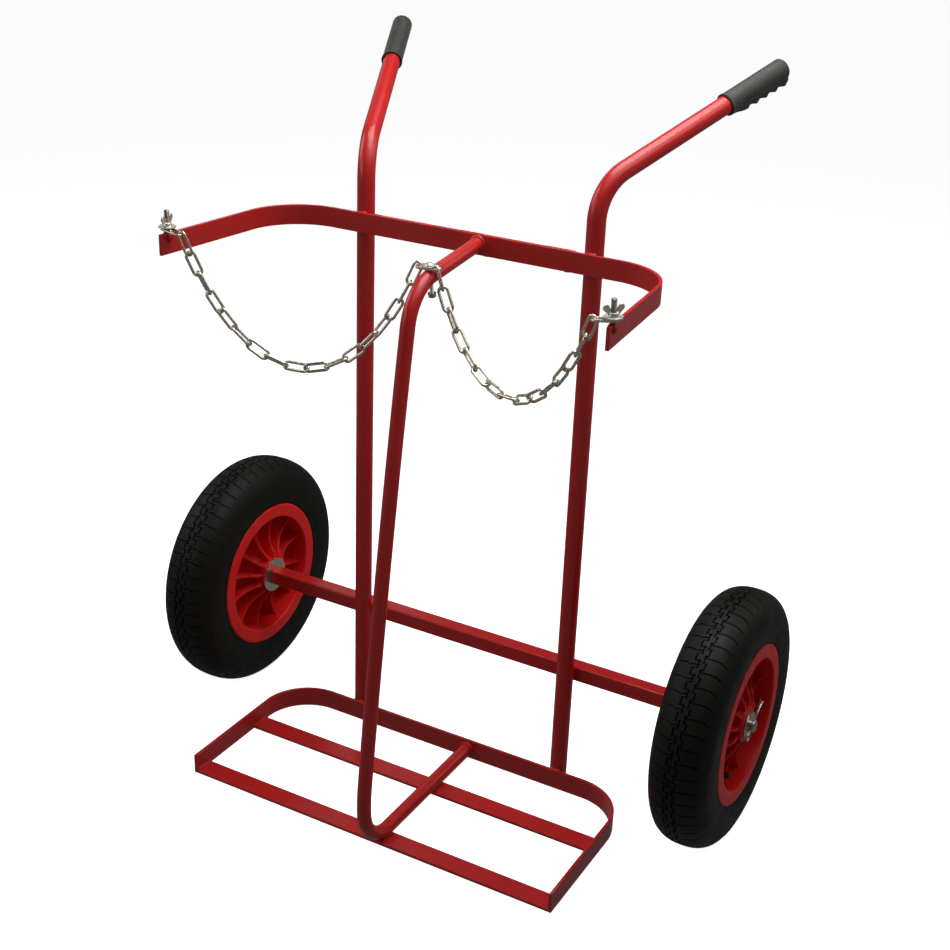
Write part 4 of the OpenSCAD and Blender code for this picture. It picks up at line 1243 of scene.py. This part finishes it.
def thread(r, z0, z1, pitch, n=40, per=8, deep=0.62, chamfer=1.0):
    """A rod with a rolled thread: a helix of rounded ridges."""
    a = np.linspace(0, 2 * math.pi, n, endpoint=False)
    rows = []
    m = int((z1 - z0) / pitch * per)
    for i in range(m + 1):
        z = z0 + (z1 - z0) * i / m
        ph = (z / pitch - a / (2 * math.pi)) % 1.0
        tri = 1 - np.abs(2 * ph - 1)
        prof = np.clip((tri - 0.12) / 0.76, 0, 1)
        edge = min(1.0, (z1 - z) / chamfer, 1.0)
        rr = r - deep * (1 - prof)
        rr = np.minimum(rr, r - (1 - max(edge, 0)) * 1.1)
        rows.append(np.stack([rr * np.cos(a), rr * np.sin(a), np.full(n, z)], 1))
    v = np.concatenate(rows)
    f = grid_faces(len(rows), n, wrap_j=True)
    f.append(list(range(n)))
    f.append(list(range((len(rows) - 1) * n, len(rows) * n))[::-1])
    g = Geo()
    g.add(v, f, flip=True)
    return g


def wing_field(x, y, z):
    """A pressed wing nut: a round boss and two thick rounded ears, drilled through."""
    rr = np.hypot(x, y)
    boss = smax(rr - (7.6 - 0.30 * np.clip(z, 0, 6)), np.abs(z - 2.6) - 2.6, 0.8)
    ax = np.abs(x)
    # ear: a band from the boss to a round lobe
    ex, ez = 10.0, 11.0
    sx, sz = 4.4, 3.0
    px, pz = ax - sx, z - sz
    dx, dz = ex - sx, ez - sz
    h = np.clip((px * dx + pz * dz) / (dx * dx + dz * dz), 0, 1)
    dist = np.hypot(px - dx * h, pz - dz * h)
    rad_e = 2.9 + 1.45 * h
    plan = dist - rad_e
    thick = np.abs(y) - (1.75 - 0.35 * np.clip((z - 2) / 12, 0, 1))
    ear = smax(plan, thick, 0.9)
    low = smax(ear, 0.2 - z, 0.5)
    body = smin(boss, low, 1.6)
    return smax(body, 3.98 - rr, 0.35)


wing = nets(wing_field, (-15.2, -8.4, -0.8), (15.2, 8.4, 16.4), 0.42)


def lump_field(seed, parts):
    def field(x, y, z):
        d = None
        for cx, cy, cz, ax, ay, az in parts:
            q = np.sqrt(((x - cx) / ax) ** 2 + ((y - cy) / ay) ** 2 + ((z - cz) / az) ** 2)
            e = (q - 1) * min(ax, ay, az)
            d = e if d is None else smin(d, e, 2.4)
        n = 0.11 * np.sin(1.2 * x + seed) * np.sin(1.4 * y + seed * 2) + 0.09 * np.sin(1.5 * z + seed * 3 + 0.8 * x)
        return d + n
    return field


for s, side in ((-1, "left"), (1, "right")):
    sf = stud_frame(s)
    st = thread(3.95, HOOP_TOP - 12, HOOP_TOP + 32, 1.25)
    emit(f"{side}_stud_thread", st.moved(sf), STUD, "frame", [f"{side}_stud"], sharp=65)
    emit(f"{side}_stud_disc", lathe(washer_profile(25, 8.5, 1.6, 0.3), 72, m=sf @ T(0, 0, WASHER_Z)), SATIN, f"{side}_washer", [f"{side}_stud_washer"])
    emit(f"{side}_nut_wings", wing.moved(sf @ T(0, 0, NUT_Z) @ RZ(80 if s < 0 else 50)), SATIN, f"{side}_nut", [f"{side}_wing_nut"], sharp=50)
    parts = [(3.2, 0, -6.0, 3.6, 5.0, 6.4), (-3.2, 0.8, -6.5, 3.6, 4.6, 6.0), (0, 2.6, -1.4, 3.6, 4.0, 3.0), (0.4, -2.4, -1.0, 3.4, 3.8, 2.8)]
    lump = nets(lump_field(1.0 + s, parts), (-8.63, -9.17, -18.1), (8.6, 9.1, 4), 0.5)
    af = hoop_arm_frame(s) @ T(0, STUD_BACK - HOOP_ARM, HOOP_TOP)
    emit(f"{side}_stud_weld", lump.moved(af), PAINT, "frame", sharp=60)

# ---------------------------------------------------------------------------
# Chain
# ---------------------------------------------------------------------------
WIRE, PITCH, LINK_IN, LINK_W = 4.0, 30.0, 30.6, 8.5


def link_geo(r):
    """A bent and butt-welded link: a stadium of round wire with the weld's small bulge on one side."""
    rc = (LINK_W + WIRE) / 2
    h = (LINK_IN + WIRE) / 2 - rc
    pts, bulge = [], []
    xs_ = np.linspace(-h, h, 15)
    for x in xs_:
        pts.append((x, -rc, 0))
        bulge.append(1.0 + 0.085 * math.exp(-((x - 0.6) / 1.1) ** 2) - 0.03 * math.exp(-((x - 0.6) / 2.6) ** 2))
    for a in np.linspace(-90, 90, 22)[1:-1]:
        pts.append((h + rc * math.cos(rad(a)), rc * math.sin(rad(a)), 0))
        bulge.append(1.0)
    for x in xs_[::-1][::2]:
        pts.append((x, rc, 0))
        bulge.append(1.0)
    for a in np.linspace(90, 270, 22)[1:-1]:
        pts.append((-h + rc * math.cos(rad(a)), rc * math.sin(rad(a)), 0))
        bulge.append(1.0)
    return sweep(pts, circle(r, 22), (0, 0, 1), closed=True, scale=bulge)


LINK = link_geo(WIRE / 2 - 0.02)              # next to a link of another body
FAT = link_geo(2.2)               # between links of its own body


def run(t, k, n):
    sl = t + k * np.arange(n)
    den = np.sqrt(1 + sl ** 2)
    return PITCH * np.sum(1 / den), PITCH * np.sum(sl / den)


def slope_for(k, dz, n):
    a, b = -40.0, 40.0
    for _ in range(40):
        m = (a + b) / 2
        if run(m, k, n)[1] < dz:
            a = m
        else:
            b = m
    return (a + b) / 2


def gain_for(dx, dz, n):
    a, b = 0.02, 6.0
    for _ in range(36):
        m = (a + b) / 2
        if run(slope_for(m, dz, n), m, n)[0] > dx:
            a = m
        else:
            b = m
    return (a + b) / 2


def hanging(p, q, n, rolls):
    p, q = np.array(p, float), np.array(q, float)
    dx = math.hypot(q[0] - p[0], q[1] - p[1])
    k = gain_for(dx, q[2] - p[2], n)
    t = slope_for(k, q[2] - p[2], n)
    az = math.degrees(math.atan2(q[1] - p[1], q[0] - p[0]))
    g = Geo()
    for i in range(n):
        x, z = run(t, k, i) if i else (0.0, 0.0)
        e = math.degrees(math.atan(t + k * i))
        m = T(0, OY, 0) @ T(*p) @ RZ(az) @ T(x, 0, z) @ RY(-e) @ T(PITCH / 2, 0, 0) @ RX(rolls[i])
        if hash01(i, n) > 0.5:
            m = m @ RZ(180)
        one = FAT if 0 < i < n - 1 else LINK
        g.add(np.concatenate(one.v), one.f, m)
    return g


reach_z = LINK_Z - 24 * math.sin(rad(LINK_TILT))
L_END, R_END = (-315, -272, reach_z), (315, -271.5, reach_z)
L_FROM, L_TO = (-314.6, -272.3, reach_z + 1.8), (-4.1, -150.4, 868.3)
R_FROM, R_TO = (25.5, -152.1, 869.3), (314.7, -271.5, reach_z + 1.5)
L_ROLLS = [{0: 112, 1: 50, 16: 74}.get(i, 180 + 72 * i) for i in range(17)]
R_ROLLS = [{0: 119, 1: 30, 2: 104, 3: 50, 4: 108, 14: 103}.get(i, 60 + 70 * (i - 3)) for i in range(15)]
emit("left_links", hanging(L_FROM, L_TO, 17, L_ROLLS), ZINC, "left_chain_drape", ["left_chain"], sharp=60)
emit("right_links", hanging(R_FROM, R_TO, 15, R_ROLLS), ZINC, "right_chain_drape", ["right_chain"], sharp=60)
for s, side in ((-1, "left"), (1, "right")):
    p = L_END if s < 0 else R_END
    m = T(0, OY, 0) @ T(*p) @ RZ(-2 if s < 0 else 181.5) @ RY(LINK_TILT) @ T(-PITCH / 2, 0, 0)
    emit(f"{side}_end_link", LINK.moved(m), ZINC, "frame", [f"{side}_chain_end_link"], sharp=60)

BOLT = DIV @ T(0, -148 - BAR_Y + 5, 838) @ RX(10)
emit("centre_link", LINK.moved(BOLT @ T(-1.7, 0.2, DIV_R + 2.27) @ RZ(4.7)), ZINC, "frame", ["chain_centre_link"], sharp=60)
SEAT = DIV_R + 4.35
head = [(0, SEAT + 5.2), (1.6, SEAT + 5.12), (3.2, SEAT + 4.75), (4.8, SEAT + 4.05), (5.9, SEAT + 3.2), (6.4, SEAT + 2.4), (6.5, SEAT + 1.9), (6.35, SEAT + 1.62), (3.0, SEAT + 1.6), (3.0, SEAT - 5), (0, SEAT - 5)]
bolt = lathe(head, 64, False)
shank = thread(3.0, -32, SEAT - 2, 1.0, 36, 8, 0.45, 0.01)
shank.v = [np.concatenate(shank.v)]
bolt.add(shank.v[0], shank.f)
emit("bolt", bolt.moved(BOLT), SATIN, "frame", ["centre_bolt"], sharp=60)
emit("bolt_disc", lathe(washer_profile(15.8, 6.4, 1.6, 0.3), 64, m=BOLT @ T(0, 0, SEAT)), SATIN, "frame", ["centre_bolt_washer"])


def hex_field(x, y, z):
    a = np.abs(x)
    b = np.abs(0.5 * x + 0.8660254 * y)
    c = np.abs(0.5 * x - 0.8660254 * y)
    hexa = np.maximum(np.maximum(a, b), c) - 4.93
    rr = np.hypot(x, y)
    cone = rr - 5.62 + np.clip(1.0 - (z + 31.0), 0, 1) * 0.55
    body = smax(smax(hexa, cone, 0.2), np.abs(z + 28.5) - 2.5, 0.2)
    flange = smax(rr - 6.2, np.abs(z + 25.55) - 0.42, 0.2)
    return smax(smin(body, flange, 0.3), 3.02 - rr, 0.2)


emit("bolt_nut", nets(hex_field, (-6.93, -6.97, -31.61), (6.9, 6.9, -24.6), 0.317).moved(BOLT), STEEL, "frame", ["centre_bolt_nut"], sharp=40)

# any CAD node still shown gets a proper finish too
FINISH = {"frame_paint": PAINT, "rim_plastic": RIM, "tyre_rubber": TYRE, "tube_rubber": BLACK, "grip_rubber": GRIP, "zinc_plate": ZINC, "axle_steel": STEEL, "bush_nylon": NYLON, "cap_plastic": CAP}
for row in frame["record"]["subparts"]:
    o = frame["nodes"][row["node"]]
    if len(o.material_slots) == 0:
        o.data.materials.append(FINISH[row["material_slot"]])
    for k in range(len(o.material_slots)):
        o.material_slots[k].material = FINISH[row["material_slot"]]

# ---------------------------------------------------------------------------
# Floor, light, camera
# ---------------------------------------------------------------------------
fm = Mat("floor_white")
fcol = fm.mix(fm.spread(fm.noise(0.8, 2, 0.5), 0.0, 1.0), (0.90, 0.90, 0.90), (0.92, 0.92, 0.92))
fm.set(Base_Color=fcol, Roughness=0.85, Normal=fm.bump(fm.noise(300, 3, 0.5), 0.03, 0.0003), Specular_IOR_Level=0.2)
fm.b.inputs["Emission Color"].default_value = (1, 1, 1, 1)
fm.b.inputs["Emission Strength"].default_value = 0.94
me = bpy.data.meshes.new("floor")
S = 16.0
me.from_pydata([(-S, -S, -0.0005), (S, -S, -0.0005), (S, S, -0.0005), (-S, S, -0.0005)], [], [(0, 1, 2, 3)])
floor = bpy.data.objects.new("floor", me)
me.materials.append(fm.m)
bpy.context.scene.collection.objects.link(floor)
floor.visible_diffuse = False
floor.visible_glossy = False
floor.visible_shadow = False

# a plain pale wall all round, far behind the cart
nb = 96
ring = [(S * 0.9 * math.cos(2 * math.pi * k / nb), S * 0.9 * math.sin(2 * math.pi * k / nb)) for k in range(nb)]
me = bpy.data.meshes.new("backdrop")
me.from_pydata([(x, y, z) for z in (-0.2, 14.0) for x, y in ring] , [], [(k, (k + 1) % nb, nb + (k + 1) % nb, nb + k) for k in range(nb)] + [tuple(range(nb, 2 * nb))])
wall = bpy.data.objects.new("backdrop", me)
wm = Mat("backdrop_white")
wcol = wm.mix(wm.spread(wm.noise(0.4, 2, 0.5), 0.0, 1.0), (0.80, 0.80, 0.80), (0.82, 0.82, 0.82))
wm.set(Base_Color=wcol, Roughness=0.9)
wm.b.inputs["Emission Color"].default_value = (1, 1, 1, 1)
wm.b.inputs["Emission Strength"].default_value = 0.9
me.materials.append(wm.m)
bpy.context.scene.collection.objects.link(wall)
for flag in ("visible_diffuse", "visible_glossy", "visible_shadow", "visible_transmission"):
    setattr(wall, flag, False)


def area(name, loc, target, size, power, colour=(1, 1, 1), size_y=None):
    d = bpy.data.lights.new(name, "AREA")
    d.energy = power
    d.color = colour
    d.shape = "RECTANGLE" if size_y else "SQUARE"
    d.size = size
    if size_y:
        d.size_y = size_y
    o = bpy.data.objects.new(name, d)
    bpy.context.scene.collection.objects.link(o)
    o.location = loc
    v = Vector(target) - Vector(loc)
    o.rotation_euler = v.to_track_quat("-Z", "Y").to_euler()
    return o


for name, loc, size, power in (
        ("overhead", (0.1, 0.2, 2.0), 0.9, 14.0),
        ("overhead_right", (0.8, 0.1, 1.85), 0.9, 5.0),
        ("overhead_front", (0.3, -0.5, 1.9), 0.9, 2.4),
        ("left", (-2.2, -0.4, 1.9), 1.2, 12.5),
        ("behind_right", (1.8, 1.8, 1.8), 1.2, 6.5),
        ("behind_left", (-1.8, 1.8, 1.8), 1.2, 2.4),
        ("front_left", (-1.6, -1.9, 1.5), 1.2, 6.5)):
    o = area(name, loc, (0, 0, 0.6), size, power)
    o.visible_camera = False

w = bpy.data.worlds.new("studio")
w.use_nodes = True
bpy.context.scene.world = w
bg = w.node_tree.nodes["Background"]
tc = w.node_tree.nodes.new("ShaderNodeTexCoord")
sep = w.node_tree.nodes.new("ShaderNodeSeparateXYZ")
rampn = w.node_tree.nodes.new("ShaderNodeValToRGB")
rampn.color_ramp.elements[0].position = 0.0
rampn.color_ramp.elements[0].color = (0.14, 0.14, 0.14, 1)
rampn.color_ramp.elements[1].position = 0.03
rampn.color_ramp.elements[1].color = (0.068, 0.068, 0.068, 1)
for pos, v in ((0.42, 0.064), (0.50, 0.010)):
    rampn.color_ramp.elements.new(pos).color = (v, v, v, 1)
w.node_tree.links.new(tc.outputs["Generated"], sep.inputs["Vector"])
w.node_tree.links.new(sep.outputs["Z"], rampn.inputs["Fac"])
w.node_tree.links.new(rampn.outputs["Color"], bg.inputs["Color"])
bg.inputs["Strength"].default_value = 1.0

bpy.context.scene.view_settings.view_transform = "Standard"
bpy.context.scene.view_settings.look = "None"

# camera, solved from the photograph
AZ, EL, ROLL = rad(28.41), rad(24.24), rad(2.26)
loc = Vector((1.02233, -1.85693, 1.4555))
d = Vector((-math.sin(AZ) * math.cos(EL), math.cos(AZ) * math.cos(EL), -math.sin(EL)))
rt = Vector((math.cos(AZ), math.sin(AZ), 0))
up = rt.cross(d)
rt2 = math.cos(ROLL) * rt + math.sin(ROLL) * up
up2 = -math.sin(ROLL) * rt + math.cos(ROLL) * up
cam_data = bpy.data.cameras.new("camera")
cam_data.sensor_width = 36.0
cam_data.lens = 1515.92 / 950.0 * 36.0
cam_data.clip_start = 0.05
cam = bpy.data.objects.new("camera", cam_data)
bpy.context.scene.collection.objects.link(cam)
m4 = Matrix((( rt2.x, up2.x, -d.x, loc.x), (rt2.y, up2.y, -d.y, loc.y), (rt2.z, up2.z, -d.z, loc.z), (0, 0, 0, 1)))
cam.matrix_world = m4
bpy.context.scene.camera = cam
